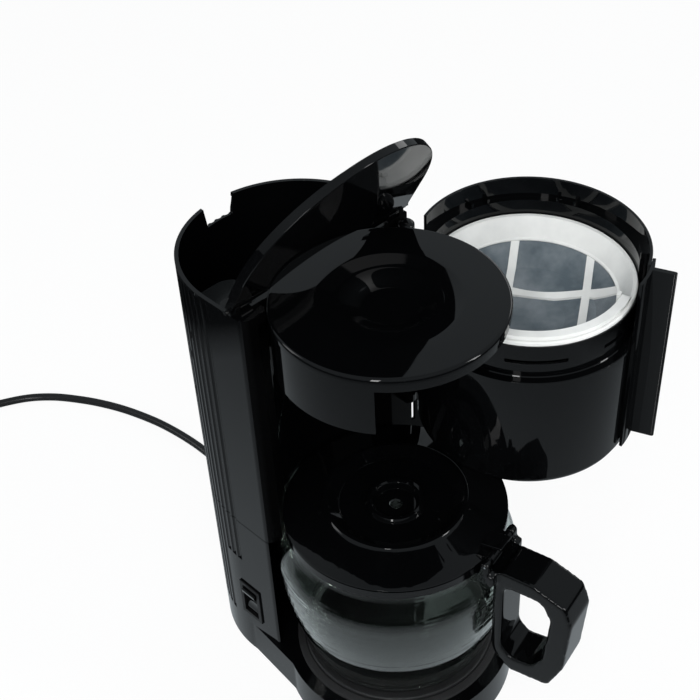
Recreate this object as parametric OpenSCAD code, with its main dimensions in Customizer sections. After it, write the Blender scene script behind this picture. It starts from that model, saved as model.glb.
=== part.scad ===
// Drip coffee maker with a swing-out filter holder, a permanent filter and a glass jug.
// Millimetres. Z is up and the table is at z = 0. The origin lies under the jug's axis.
// +X points from the water tank to the jug, -Y to the side with the switch.
// At rest the tank lid is open and the filter holder is swung out.

/* [Brew head] */
// Height of the brew head's top above the table
head_top = 313; // [305:0.5:325]
// How much smaller the brew head's radius is than the tank's
head_inset = 0.5; // [0.2:0.1:1]
// Depth of the cap's glossy edge
cap_lip = 5; // [4:0.5:6]
// Radius of the round dish in the cap
dish_r = 38.5; // [34:0.5:42]
// Radius of the dish's flat floor
dish_floor_r = 23.5; // [16:0.5:26]
// Depth of the dish
dish_depth = 6; // [4:0.5:6.5]
// Depth of the short skirt under the cap
skirt_short = 4.5; // [3:0.5:6]
// How far the deep skirt hangs below the head's top
skirt_deep = 39; // [31:0.5:45]
// Angle from +X of the deep skirt's free end
skirt_end = -53; // [-60:1:-50]
// Radius of the spray plate under the cap
spray_r = 30; // [22:1:34]

/* [Water tank] */
// Radius of the tank's round back, half the tank's width
tank_r = 66.5; // [64:0.5:68]
// Distance from the jug's axis back to the tank's back
tank_back = 143; // [138:1:150]
// Distance from the jug's axis back to the tank's front face
tank_front = 51; // [51:0.5:54]
// How far the tank's rim lies below the head's top
rim_drop = 3; // [1:0.5:4.5]
// Thickness of the housing walls
wall = 2.4; // [2:0.1:3]
// Height of the joint between the tank and the base
seam_z = 134; // [128:1:140]
// Width of the filling notch in the rim
notch_w = 21.4; // [16:0.1:34]
// Depth of the filling notch
notch_d = 13.6; // [8:0.2:18]
// How far the tank's side stands forward of its front on the switch side
wing = 8; // [6:0.5:9]
// How far the shelf over the hose duct lies below the head's top
shelf_drop = 45; // [41:1:73]
// Number of flutes round the back of the tank
flute_count = 39; // [21:2:45]
// Depth of a flute
flute_depth = 0.9; // [0.5:0.1:1.1]

/* [Tank lid] */
// Thickness of the lid plate
lid_t = 2.4; // [2:0.1:3]
// Depth of the lid's edge
lid_edge = 4.6; // [4:0.2:6]
// Angle by which the lid stands open
lid_open = 119; // [90:1:124]
// How far the lid's free end reaches past the tank's back
lid_over = 5.5; // [3:0.5:8]

/* [Filter holder] */
// How much larger the holder's radius is than the brew head's
holder_over = 1.5; // [1.2:0.1:2]
// Wall of the holder
holder_wall = 2.2; // [1.8:0.1:2.6]
// Height of the holder's underside
holder_z = 171; // [168:0.5:176]
// How far the ledge round the holder lies below the head's top
ledge_drop = 58; // [53:0.5:63]
// How far the low wall under the filter's rim ends below the head's top
low_wall_drop = 36; // [35.5:0.5:40]
// How far the low wall stands in from the holder's body
low_wall_inset = 4.3; // [4.1:0.1:4.9]
// How far the step inside the tall wall lies below the head's top
step_drop = 24; // [19:0.5:29]
// How far the tall wall stands out over the holder's body
tall_over = 1.1; // [1.1:0.1:1.5]
// Thickness of the tall wall
tall_wall = 1.8; // [1.5:0.1:1.8]
// How far the grip plate reaches out over the tall wall
grip_reach = 15.9; // [12:0.1:19]
// Thickness of the grip plate
grip_t = 3; // [2.5:0.1:4]
// Distance of the swing axis before the tank's front face
pivot_gap = 6.2; // [5.5:0.1:7]
// Distance of the swing axis in from the tank's side
pivot_inset = 7.5; // [7:0.1:8]
// Angle by which the holder is swung out
holder_open = 87.5; // [80:0.5:90]
// Radius of the swing pin
pin_r = 2.5; // [2:0.1:3]

/* [Permanent filter] */
// How far the filter's rim stays inside the low wall's outside
filter_inset = 0.8; // [0.6:0.1:1.4]
// Width of the filter's slanted rim
cone_w = 10.4; // [9.4:0.1:16]
// Depth of the mesh disc under the rim
mesh_depth = 13; // [10:0.5:18]
// Width of the ribs over the mesh
rib_w = 5; // [3:0.5:6]

/* [Jug] */
// Largest radius of the glass
jug_r = 75.2; // [72:0.2:76]
// Wall of the glass
glass_t = 2.2; // [1.8:0.1:3]
// Radius of the jug's lid
jug_lid_r = 69; // [67:0.5:70]
// Height of the jug lid's ring above the table
jug_lid_top = 160; // [158:0.5:162]
// Angle of the jug's handle from +X
handle_turn = 12; // [0:1:30]
// Distance from the jug's axis to the outside of the handle
handle_reach = 128; // [118:1:132]
// Width of the handle
handle_w = 26; // [20:1:30]

/* [Base] */
// Radius of the base under the jug
base_r = 76; // [74:0.5:82]
// Height of the base's top
base_top = 32; // [30:0.5:33]
// Height of the hot plate's surface
plate_z = 37; // [36:0.5:38]
// Radius of the hot plate
plate_r = 63; // [60:0.5:66]
// Height of the feet
foot_h = 4; // [3:0.5:5]
// Top of the plain panel with the switch
panel_z = 96; // [90:1:104]

/* [Cord] */
// Diameter of the mains cord
cord_d = 6.2; // [5:0.1:7.5]

/* [Fits] */
// Radial clearance of a pin in its bore
run_gap = 0.06; // [0.03:0.01:0.09]
// Gap between pieces that slide or lift past each other
part_gap = 0.3; // [0.2:0.05:0.5]
// Gap at the joint line between tank and base
seam_gap = 0.6; // [0.4:0.1:0.8]

/* [Hidden] */
$fn = 64;
eps = 0.01;
big = 600;

// radii that follow the tank's, so that the towers stay flush
head_r = tank_r - head_inset;
holder_r = head_r + holder_over;
low_wall_r = holder_r - low_wall_inset;
tall_r = holder_r + tall_over;
grip_r = tall_r + grip_reach;
filter_r = low_wall_r - filter_inset;
mesh_r = filter_r - cone_w;
// heights that follow the head's top
tank_top = head_top - rim_drop;
duct_top = head_top - shelf_drop;
skirt_low_z = head_top - skirt_deep;
ledge_z = head_top - ledge_drop;
low_wall_z = head_top - low_wall_drop;
step_z = head_top - step_drop;

// tank plan
tank_cx = -(tank_back - tank_r);
front_x = -tank_front;
// bay for the closed holder, and the wider bay for the jug below the seam
bay_gap = 3.5;
bay_r = holder_r + bay_gap;
jug_bay_gap = 4.8;
jug_bay_r = jug_r + jug_bay_gap;
// deck between the bay and the tank's front face
lip_z = head_top - cap_lip;
skirt_z = lip_z - skirt_short;
deck_z = skirt_z;
deck_t = 2.5;
tank_floor_z = seam_z + 6;
tank_floor_t = 3;
holder_top_z = skirt_z - 1;

// swing axis
pivot = [-tank_front + pivot_gap, tank_r - pivot_inset];
pin_bore_r = pin_r + run_gap;
barrel_r = 5.2;
bracket_low_z = holder_z + 1;
bracket_t = 8;

// flutes
flute_r = 3;
flute_step = 180 / (flute_count - 1);
panel_back = 89;

// hose duct
duct_back = 125;
duct_side = 9;
duct_round = 12;
duct_wall = 2;
hose_inset = 15.5;
hose_xy = [-74, hose_inset - tank_r];
hose_r = 5;
hose_bore_r = 3.2;

function polar(r, a) = [r * cos(a), r * sin(a)];
function reach(i, n, a, b) = a + (b - a) * i / n;

// a sector of the plane from angle a to angle b, seen from the origin
module sector(a, b, r = big) {
    steps = ceil((b - a) / 40);
    polygon(concat([[0, 0]], [for (i = [0:steps]) polar(r, reach(i, steps, a, b))]));
}

// a ring wall between two radii and two heights, from angle a to angle b
module wall_sector(r_out, r_in, z0, z1, a, b) {
    translate([0, 0, z0]) linear_extrude(z1 - z0) intersection() {
        difference() {
            circle(r = r_out, $fn = 128);
            circle(r = r_in, $fn = 128);
        }
        sector(a, b);
    }
}

// the tank's plan with a round back, drawn in by inset, without the wing
module main_plan(inset) intersection() {
    union() {
        translate([tank_cx, 0]) circle(r = tank_r - inset, $fn = 128);
        translate([tank_cx, -(tank_r - inset)])
            square([front_x - inset - tank_cx, 2 * (tank_r - inset)]);
    }
    translate([-big, -big / 2]) square([big + front_x - inset, big]);
}

// wing that carries the tank's side forward past the holder's bay on the switch side
wing_round = 5;
wing_in = 49;
module wing_plan(inset) {
    x = front_x + wing - wing_round;
    y = -(tank_r - wing_round);
    back = front_x - inset - 1;
    translate([back, -(tank_r - inset)]) square([x - back, tank_r - wing_in - 2 * inset]);
    translate([back, y]) square([front_x + wing - inset - back, -wing_in - inset - y]);
    translate([x, y]) circle(r = wing_round - inset, $fn = 64);
}

module tank_plan(inset) {
    main_plan(inset);
    wing_plan(inset);
}

// the flutes round the back, left out of the plain panel where keep_panel is set
module flutes(keep_panel) {
    for (i = [0:flute_count - 1]) {
        a = 90 + i * flute_step;
        x = tank_cx + tank_r * cos(a);
        on_panel = keep_panel && a > 180 && x > -panel_back;
        if (!on_panel) {
            translate([tank_cx, 0] + polar(tank_r + flute_r - flute_depth, a))
                circle(r = flute_r, $fn = 24);
        }
    }
}
module swing_out() {
    translate([pivot[0], pivot[1], 0]) rotate([0, 0, holder_open])
        translate([-pivot[0], -pivot[1], 0]) children();
}

module along_handle() {
    rotate([0, 0, handle_turn]) children();
}

// ---------- base ----------

// base plan: the tank's plan joined to the round front by flanks that cut both arcs just inside their tangent
flank_cut = 0.2;
flank_turn = 4;
module base_plan(inset) {
    turn = acos((base_r - tank_r) / -tank_cx);
    front = polar(base_r - inset - flank_cut, turn - flank_turn);
    back = [tank_cx, 0] + polar(tank_r - inset - flank_cut, turn + flank_turn);
    circle(r = base_r - inset, $fn = 128);
    translate([tank_cx, 0]) circle(r = tank_r - inset, $fn = 128);
    polygon([front, back, [back[0], -back[1]], [front[0], -front[1]]]);
}

module column_plan(inset) {
    difference() {
        tank_plan(inset);
        circle(r = jug_bay_r + inset, $fn = 128);
    }
}

cover_t = 2.4;
cover_z = foot_h;
base_z = foot_h + 1;
plate_seat_r = plate_r + 2;
switch_x = -70;
switch_z = 58;
switch_w = 15;
switch_h = 27;
relief_y = 24;
relief_z = 22;
relief_r = 5.5;
tongue_h = 5;
tongue_gap = 0.2;

// posts in the base that take the cover's screws; the rear ones stand on a rib from the wall
module screw_post(p) translate([0, 0, boss_top_z + 0.1]) difference() {
    union() {
        translate(p) cylinder(r = boss_r, h = base_top - wall / 2 - boss_top_z);
        if (p[0] < tank_cx) {
            turn = atan2(p[1], p[0] - tank_cx);
            near = norm([p[0] - tank_cx, p[1]]);
            translate([tank_cx, 0, 0.5]) rotate([0, 0, turn]) translate([near, -1.5, 0])
                cube([tank_r - wall / 2 - near, 3, base_top - wall - boss_top_z - 2]);
        }
    }
    translate([p[0], p[1], -1]) cylinder(r = screw_r + run_gap, h = screw_len + cover_z + 2 - boss_top_z);
}

module base_housing() color([0.06, 0.06, 0.065]) {
    base_shell();
    for (p = screw_places) screw_post(p);
}
module base_shell() difference() {
    union() {
        relief_boss();
        translate([0, 0, base_z]) linear_extrude(base_top - base_z) base_plan(0);
        translate([0, 0, base_top - eps]) linear_extrude(panel_z - base_top + eps) difference() {
            column_plan(0);
            flutes(true);
        }
        translate([0, 0, panel_z - eps]) linear_extrude(seam_z - panel_z + eps) difference() {
            column_plan(0);
            flutes(false);
        }
    }
    translate([0, 0, base_z - 1]) linear_extrude(base_top - base_z + 1 - wall)
        base_plan(wall);
    translate([0, 0, base_top - wall - 1]) linear_extrude(seam_z - base_top + wall + 2)
        column_plan(wall);
    translate([0, 0, base_top - wall - 1]) cylinder(r = plate_seat_r, h = wall + 2, $fn = 128);
    // switch opening
    translate([switch_x - switch_w / 2, -tank_r - 1, switch_z - switch_h / 2])
        cube([switch_w, wall + 2, switch_h]);
    // cord opening
    translate([relief_x - 2, relief_y, relief_z]) rotate([0, 90, 0])
        cylinder(r = relief_r, h = 20);
}
// flat boss round the cord opening
relief_x = -tank_back + 1.5;
module relief_boss() translate([relief_x, relief_y, relief_z]) rotate([0, 90, 0])
    cylinder(r = relief_r + 3.6, h = 8);

module base_cover() color([0.09, 0.09, 0.095]) difference() {
    union() {
        translate([0, 0, cover_z]) linear_extrude(cover_t) base_plan(wall + 0.1);
        for (p = screw_places) translate([p[0], p[1], cover_z]) cylinder(r = boss_r, h = boss_top_z - cover_z);
    }
    for (p = screw_places) translate([p[0], p[1], cover_z - 1]) {
        cylinder(r = screw_r + 0.1, h = 12);
        cylinder(r = screw_head_r + 0.3, h = 1 + screw_head_h);
    }
    // air slots under the heater
    for (x = [-24:12:24]) translate([x - 2, -20, cover_z - 1]) cube([4, 40, cover_t + 2]);
}
screw_r = 1.5;
screw_head_r = 3;
screw_head_h = 1.8;
screw_places = [[56.2, 40.4], [56.2, -40.4], [-117, 39], [-117, -39]];
boss_r = 3.2;
boss_top_z = cover_z + 8;
screw_len = 16;

module base_screws() color([0.55, 0.56, 0.58]) for (p = screw_places)
    translate([p[0], p[1], cover_z]) difference() {
        union() {
            cylinder(r = screw_head_r, h = screw_head_h);
            cylinder(r = screw_r, h = screw_len);
        }
        for (a = [0, 90]) rotate([0, 0, a]) translate([-1.6, -0.35, -1]) cube([3.2, 0.7, 1.8]);
    }

foot_places = [[44, 50], [44, -50], [-120, 34], [-120, -34]];
module feet() color([0.12, 0.12, 0.12]) for (p = foot_places)
    translate([p[0], p[1], 0]) rotate_extrude($fn = 48)
        polygon([[0, 0], [7, 0], [8, 1], [8, foot_h], [0, foot_h]]);

// ---------- heating ----------

module hot_plate() color([0.10, 0.10, 0.10]) rotate_extrude($fn = 128)
    polygon([
        [0, plate_z - 1.5], [plate_r - 12, plate_z - 1.5], [plate_r - 10, plate_z - 2.5],
        [plate_r - 2, plate_z - 2.5], [plate_r - 2, base_top - 6], [plate_r, base_top - 6],
        [plate_r, plate_z - 0.8], [plate_r - 0.8, plate_z], [0, plate_z]
    ]);

module plate_seal() color([0.16, 0.16, 0.17]) rotate_extrude($fn = 128)
    polygon([
        [plate_r + 0.05, base_top - 4], [plate_seat_r - 0.05, base_top - 4],
        [plate_seat_r - 0.05, base_top + 0.05], [plate_seat_r + 3, base_top + 0.05],
        [plate_seat_r + 2.4, base_top + 1.4], [plate_r + 0.05, base_top + 2.2]
    ]);

heater_z = 20;
heater_ring_r = 42;
heater_tube_r = 5.5;
heater_span = 280;
module heater() color([0.72, 0.73, 0.75]) {
    difference() {
        union() {
            rotate([0, 0, 180 + (360 - heater_span) / 2]) translate([0, 0, heater_z])
                rotate_extrude(angle = heater_span, $fn = 96)
                    translate([heater_ring_r, 0]) circle(r = heater_tube_r, $fn = 32);
            translate([0, 0, heater_z + 2]) wall_ring(heater_ring_r + 8, heater_ring_r - 8,
                plate_z - 1.6 - heater_z - 2);
            for (s = [-1, 1]) {
                heater_stub(s, nozzle_r, 0);
                heater_stub(s, heater_tube_r - 0.9, nozzle_len);
            }
        }
        for (s = [-1, 1]) heater_stub(s, nozzle_bore_r, -1);
    }
}
nozzle_r = hose_bore_r;
nozzle_bore_r = 2;
nozzle_len = 12;
module wall_ring(r_out, r_in, h) difference() {
    cylinder(r = r_out, h = h, $fn = 96);
    translate([0, 0, -1]) cylinder(r = r_in, h = h + 2, $fn = 96);
}
stub_y = heater_ring_r * sin((360 - heater_span) / 2);
stub_x = -heater_ring_r * cos((360 - heater_span) / 2);
stub_len = 26;
module heater_stub(side, r, from) translate([stub_x - stub_len + from, side * stub_y, heater_z])
    rotate([0, 90, 0]) cylinder(r = r, h = stub_len + 1 - from, $fn = 32);

module heater_bracket() color([0.62, 0.63, 0.64]) {
    translate([-6, -heater_ring_r - 14, heater_z - heater_tube_r - 3])
        cube([12, 2 * heater_ring_r + 28, 1.5]);
    for (s = [-1, 1]) translate([-6, s * (heater_ring_r + 13) - 1, cover_z + cover_t])
        cube([12, 2, heater_z - heater_tube_r - 1.5 - cover_z - cover_t]);
    translate([-6, -heater_ring_r - 2, heater_z - heater_tube_r - 1.6]) cube([12, 4, 1.6]);
    translate([-6, heater_ring_r - 2, heater_z - heater_tube_r - 1.6]) cube([12, 4, 1.6]);
}

module thermostat() color([0.85, 0.83, 0.78]) {
    translate([0, 0, plate_z - 1.6 - 7]) cylinder(r = 8, h = 7);
    translate([0, 0, plate_z - 1.6 - 13]) cylinder(r = 6, h = 6.2);
    for (s = [-1, 1]) translate([s * 3 - 0.4, -2, plate_z - 1.6 - 18]) cube([0.8, 4, 6]);
}

module thermal_fuse() color([0.80, 0.70, 0.35]) translate([20, 0, plate_z - 1.6 - 3.1]) {
    rotate([0, 90, 90]) translate([0, 0, -6]) cylinder(r = 2.2, h = 12);
    translate([-4, -1, 0]) cube([8, 2, 3]);
}

module terminal_block() color([0.9, 0.9, 0.86]) difference() {
    translate([-112, -16, cover_z + cover_t]) cube([10, 28, 11]);
    for (y = [-11, -2, 7]) translate([-107, y, cover_z + cover_t + 4]) cylinder(r = 2, h = 12);
}

// ---------- switch ----------

bezel_t = 1.2;
module switch_bezel() color([0.05, 0.05, 0.05]) difference() {
    translate([switch_x - switch_w / 2 - 2, -tank_r - bezel_t, switch_z - switch_h / 2 - 2])
        cube([switch_w + 4, bezel_t, switch_h + 4]);
    translate([switch_x - switch_w / 2 + 1, -tank_r - bezel_t - 1, switch_z - switch_h / 2 + 1])
        cube([switch_w - 2, bezel_t + 2, switch_h - 2]);
}

module switch_body() color([0.15, 0.15, 0.15]) difference() {
    translate([switch_x - switch_w / 2 + 0.1, -tank_r, switch_z - switch_h / 2 + 0.1])
        cube([switch_w - 0.2, 9, switch_h - 0.2]);
    translate([switch_x - switch_w / 2 + 1, -tank_r - 1, switch_z - switch_h / 2 + 1])
        cube([switch_w - 2, 9.1, switch_h - 2]);
    translate([switch_x - switch_w / 2 - 1, rocker_y, switch_z]) rotate([0, 90, 0])
        cylinder(r = rocker_pin_r + run_gap, h = switch_w + 2, $fn = 24);
}
rocker_y = -tank_r + 3;
rocker_pin_r = 1.2;
rocker_half = 9;
module switch_rocker() color([0.08, 0.08, 0.08]) translate([switch_x, rocker_y, switch_z])
    rotate([rocker_half, 0, 0]) {
        rotate([0, 90, 0]) translate([0, 0, -switch_w / 2 + 0.3])
            cylinder(r = rocker_pin_r, h = switch_w - 0.6, $fn = 24);
        rotate([0, 90, 0]) translate([0, 0, -switch_w / 2 + 1.5]) linear_extrude(switch_w - 3)
            difference() {
                translate([-11, -4.2]) square([22, 7]);
                translate([0, -24.5]) circle(r = 22, $fn = 96);
            }
    }

// ---------- tank ----------

module duct_plan(inset) intersection() {
    union() {
        translate([-duct_back + inset, -tank_r])
            square([duct_back - duct_round, tank_r - duct_side - duct_round]);
        translate([-duct_back + duct_round, -tank_r])
            square([duct_back, tank_r - duct_side - inset]);
        translate([-duct_back + duct_round, -duct_side - duct_round])
            circle(r = duct_round - inset, $fn = 48);
    }
    tank_plan(wall);
}

outlet_xy = [-112, 30];
outlet_r = 6;
outlet_len = 12;

// the space inside the tank's walls, behind the bay
module tank_space_plan() difference() {
    tank_plan(wall);
    circle(r = bay_r + wall, $fn = 128);
}

module tank_shell() difference() {
    union() {
        translate([0, 0, seam_z + seam_gap])
            linear_extrude(tank_top - rim_band - seam_z - seam_gap) difference() {
                tank_plan(0);
                flutes(false);
            }
        // plain band round the rim
        translate([0, 0, tank_top - rim_band - eps]) linear_extrude(rim_band + eps) tank_plan(0);
        // tongue that seats inside the base
        translate([0, 0, seam_z - tongue_h]) linear_extrude(tongue_h + seam_gap + eps)
            column_plan(wall + tongue_gap);
    }
    // bay for the closed holder
    translate([0, 0, seam_z - tongue_h - 1])
        cylinder(r = bay_r, h = deck_z - seam_z + tongue_h + 1, $fn = 128);
    // space under the tank's floor
    translate([0, 0, seam_z - tongue_h - 1])
        linear_extrude(tank_floor_z - tank_floor_t - seam_z + tongue_h + 1) difference() {
            tank_plan(wall + tongue_gap + tongue_t);
            circle(r = jug_bay_r + wall + tongue_gap + tongue_t, $fn = 128);
        }
    // water space beside the duct, over the duct, and over the deck
    translate([0, 0, tank_floor_z]) linear_extrude(duct_top - tank_floor_z) difference() {
        tank_space_plan();
        duct_plan(0);
    }
    translate([0, 0, duct_top]) linear_extrude(deck_z + deck_t - duct_top) tank_space_plan();
    translate([0, 0, deck_z + deck_t - eps]) linear_extrude(tank_top) main_plan(wall);
    // room for the head beside the wing
    translate([0, 0, deck_z - eps]) linear_extrude(tank_top) difference() {
        circle(r = head_r + 1, $fn = 128);
        translate([-big, -big / 2]) square([big + front_x, big]);
    }
    // inside of the duct
    translate([0, 0, seam_z]) linear_extrude(duct_top - duct_wall - seam_z) difference() {
        duct_plan(duct_wall);
        circle(r = jug_bay_r + wall, $fn = 128);
    }
    translate([hose_xy[0], hose_xy[1], seam_z]) cylinder(r = hose_r + part_gap, h = duct_top);
    spray_tube(spray_tube_r + part_gap);
    // filling notch
    translate([-tank_back - 5, notch_y, tank_top - notch_d]) rotate([90, 0, 90])
        linear_extrude(20) polygon([
            [-notch_w / 2 + notch_taper, 0],
            [notch_w / 2 - notch_taper, 0],
            [notch_w / 2 + notch_taper, notch_d + 1],
            [-notch_w / 2 - notch_taper, notch_d + 1]]);
}
tongue_t = 1.6;
rim_band = 2.5;
notch_y = -1.3;
notch_taper = 1.1;

// a lug from the tank's corner to the swing pin
module swing_bracket(z) translate([0, 0, z]) linear_extrude(bracket_t) {
    translate(pivot) circle(r = barrel_r, $fn = 48);
    translate([front_x - 1, pivot[1] - barrel_r])
        square([pivot[0] - front_x + 1, 2 * barrel_r]);
}

// lid hinge
hinge_x = front_x - 2.8;
hinge_z = tank_top + 3.2;
knuckle_r = 2.6;
lid_pin_r = 1.4;
ear_y = tank_r - wall - 3.4;
ear_t = 3.2;
module lid_ear(side) translate([hinge_x, side * (ear_y + ear_t / 2) + ear_t / 2, hinge_z])
    rotate([90, 0, 0]) linear_extrude(ear_t) {
        circle(r = knuckle_r, $fn = 48);
        translate([-knuckle_r, tank_top - hinge_z - 4]) square([2 * knuckle_r, 4 - tank_top + hinge_z]);
    }

module tank_body() color([0.06, 0.06, 0.065]) difference() {
    union() {
        tank_shell();
        translate([outlet_xy[0], outlet_xy[1], tank_floor_z - outlet_len])
            cylinder(r = outlet_r, h = outlet_len - 1);
        translate([outlet_xy[0], outlet_xy[1], tank_floor_z - outlet_len - nozzle_len])
            cylinder(r = nozzle_r, h = nozzle_len + 1);
        for (z = [bracket_low_z, skirt_z - bracket_t]) swing_bracket(z);
        for (s = [-1, 1]) lid_ear(s);
    }
    // water outlet
    translate([outlet_xy[0], outlet_xy[1], tank_floor_z - outlet_len - nozzle_len - 1])
        cylinder(r = nozzle_bore_r, h = outlet_len + nozzle_len + 2);
    for (z = [bracket_low_z, skirt_z - bracket_t]) translate([pivot[0], pivot[1], z - 1])
        cylinder(r = pin_bore_r, h = bracket_t + 2, $fn = 48);
    translate([hinge_x, tank_r, hinge_z]) rotate([90, 0, 0])
        cylinder(r = lid_pin_r, h = 2 * tank_r, $fn = 32);
}

module lid_pins() color([0.6, 0.6, 0.62]) for (s = [-1, 1])
    translate([hinge_x, s * (ear_y + ear_t / 2) + lid_pin_len / 2, hinge_z]) rotate([90, 0, 0])
        cylinder(r = lid_pin_r, h = lid_pin_len, $fn = 32);
lid_pin_len = 14;

module tank_strainer() color([0.75, 0.76, 0.74])
    translate([outlet_xy[0], outlet_xy[1], tank_floor_z]) difference() {
        union() {
            cylinder(r = 9, h = 1.5);
            cylinder(r = 6, h = 9);
        }
        translate([0, 0, -1]) cylinder(r = 4.8, h = 9);
        for (a = [0:45:179]) rotate([0, 0, a]) translate([-10, -0.6, 2.5]) cube([20, 1.2, 5]);
    }

// ---------- water path ----------

module check_valve() color([0.85, 0.86, 0.86])
    translate([outlet_xy[0], outlet_xy[1], valve_z]) difference() {
        union() {
            cylinder(r = hose_bore_r, h = valve_len);
            translate([0, 0, valve_len / 2 - 3]) cylinder(r = 7, h = 6);
        }
        translate([0, 0, -1]) cylinder(r = 1.6, h = valve_len + 2);
    }
valve_len = 22;
valve_z = 70;

// hoses: hollow tubes swept along an upright run, a quarter bend and a level run
HOSE_SIDES = 10;
bend_r = 14;
bend_steps = 5;
hose_bore_gap = 0.3;
hose_reach = 10;
hose_steps = 4;
function between(p, q, r, t) = (1 - t) * (1 - t) * p + 2 * t * (1 - t) * q + t * t * r;
function hose_way(xy, target, z_top) = let (
    z = heater_z + bend_r,
    aim = target - [nozzle_len + 1, 0],
    turn = aim - [hose_reach, 0],
    d = unit(turn - xy),
    low = xy + bend_r * d)
    concat([[xy[0], xy[1], z_top]],
        [for (i = [0:bend_steps]) let (a = 90 * i / bend_steps, o = bend_r * (1 - cos(a)))
            [xy[0] + d[0] * o, xy[1] + d[1] * o, z - bend_r * sin(a)]],
        [for (i = [1:hose_steps]) let (q = between(low, turn, aim, i / hose_steps)) [q[0], q[1], heater_z]],
        [for (i = [1:2]) let (q = aim + (target - aim) * i / 2) [q[0], q[1], heater_z]]);

function unit(v) = v / norm(v);
function way_dir(w, i) = unit(w[min(i + 1, len(w) - 1)] - w[max(i - 1, 0)]);

// the level direction across a way at one of its points; an upright run takes that of the bend
function way_side(w, i) = let (d = way_dir(w, max(i, 2))) unit([d[1], -d[0], 0]);
// rings of points round a way
function way_rings(w, r, sides) = [for (i = [0:len(w) - 1], k = [0:sides - 1])
    let (d = way_dir(w, i), side = way_side(w, i), up = unit(cross(d, side)), a = 360 * k / sides)
    w[i] + r * (cos(a) * side + sin(a) * up)];

module hose(xy, target, z_top) {
    w = hose_way(xy, target, z_top);
    pipe_mesh(way_rings(w, hose_r, HOSE_SIDES), way_rings(w, hose_bore_r + hose_bore_gap, HOSE_SIDES),
        len(w), HOSE_SIDES);
}

// a closed tube from rings of points
module tube_mesh(points, rings, sides) polyhedron(points, concat(
    [[for (k = [0:sides - 1]) k]],
    [for (i = [0:rings - 2], k = [0:sides - 1]) let (n = (k + 1) % sides)
        [i * sides + k, (i + 1) * sides + k, (i + 1) * sides + n, i * sides + n]],
    [[for (k = [sides - 1:-1:0]) (rings - 1) * sides + k]]), convexity = 8);

// a hollow tube from outer and inner rings of points
module pipe_mesh(outer, inner, rings, sides) {
    n0 = rings * sides;
    last = (rings - 1) * sides;
    polyhedron(concat(outer, inner), concat(
        [for (i = [0:rings - 2], k = [0:sides - 1]) let (n = (k + 1) % sides)
            [i * sides + k, (i + 1) * sides + k, (i + 1) * sides + n, i * sides + n]],
        [for (i = [0:rings - 2], k = [0:sides - 1]) let (n = (k + 1) % sides)
            [n0 + i * sides + n, n0 + (i + 1) * sides + n, n0 + (i + 1) * sides + k, n0 + i * sides + k]],
        [for (k = [0:sides - 1]) let (n = (k + 1) % sides) [k, n, n0 + n, n0 + k]],
        [for (k = [0:sides - 1]) let (n = (k + 1) % sides)
            [last + n, last + k, n0 + last + k, n0 + last + n]]), convexity = 8);
}

stub_end = stub_x - stub_len + nozzle_len - 0.05;
module inlet_hose() color([0.88, 0.87, 0.84])
    hose(outlet_xy, [stub_end, stub_y], valve_z + 8);

module tank_hose() color([0.88, 0.87, 0.84])
    translate([outlet_xy[0], outlet_xy[1], valve_z + valve_len - 8]) difference() {
        cylinder(r = hose_r, h = tank_floor_z - outlet_len - valve_z - valve_len + 8, $fn = 32);
        translate([0, 0, -1]) cylinder(r = hose_bore_r + 0.1, h = big, $fn = 32);
    }

module riser_hose() color([0.88, 0.87, 0.84]) hose(hose_xy, [stub_end, -stub_y], spray_z - 2);

clamp_t = 0.9;
module hose_clamps() color([0.70, 0.71, 0.73]) {
    for (z = [valve_z + 3, valve_z + valve_len - 6, tank_floor_z - outlet_len - 5])
        translate([outlet_xy[0], outlet_xy[1], z]) hose_clamp();
    translate([hose_xy[0], hose_xy[1], spray_z - 10]) hose_clamp();
}
module hose_clamp() difference() {
    union() {
        cylinder(r = hose_r + 0.05 + clamp_t, h = 4);
        translate([hose_r, -2, 0]) cube([5, 4, 4]);
    }
    translate([0, 0, -1]) cylinder(r = hose_r + 0.05, h = 6);
    translate([hose_r - 1, -0.5, -1]) cube([8, 1, 6]);
}

// ---------- spray ----------

spray_drop = 21;
spray_z = head_top - spray_drop;
spray_tube_r = 4;
spray_turn = atan2(-hose_xy[1], -hose_xy[0]);
spray_t = 2.4;
module spray_tube(r) translate([hose_xy[0], hose_xy[1], spray_z + spray_tube_r])
    rotate([0, 0, spray_turn]) rotate([0, 90, 0]) cylinder(r = r, h = norm(hose_xy), $fn = 32);

module spray_arm() color([0.10, 0.10, 0.11]) difference() {
    union() {
        spray_tube(spray_tube_r);
        translate([hose_xy[0], hose_xy[1], spray_z - 2]) cylinder(r = hose_r, h = 8);
        translate([hose_xy[0], hose_xy[1], spray_z - 2 - nozzle_len]) cylinder(r = nozzle_r, h = nozzle_len + 1);
        translate([0, 0, spray_z - 2]) cylinder(r = 7, h = skirt_z - spray_z + 2);
    }
    spray_tube(spray_tube_r - 1.4);
    translate([hose_xy[0], hose_xy[1], spray_z - 3 - nozzle_len]) cylinder(r = nozzle_bore_r, h = nozzle_len + 6);
    translate([0, 0, spray_z - 3]) cylinder(r = 4, h = 6);
}

module spray_head() color([0.10, 0.10, 0.11]) translate([0, 0, spray_z - 2 - spray_t]) difference() {
    union() {
        cylinder(r = spray_r, h = spray_t, $fn = 96);
        difference() {
            translate([0, 0, -2]) cylinder(r = spray_r, h = 2.5, $fn = 96);
            translate([0, 0, -3]) cylinder(r = spray_r - 1.6, h = 4, $fn = 96);
        }
    }
    for (a = [0:45:359]) translate(polar(18, a)) translate([0, 0, -1]) cylinder(r = 1.4, h = 5, $fn = 16);
    for (a = [0:90:359]) translate(polar(8, a)) translate([0, 0, -1]) cylinder(r = 1.4, h = 5, $fn = 16);
    translate([0, 0, -1]) cylinder(r = 1.4, h = 5, $fn = 16);
}

// ---------- brew head ----------

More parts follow.
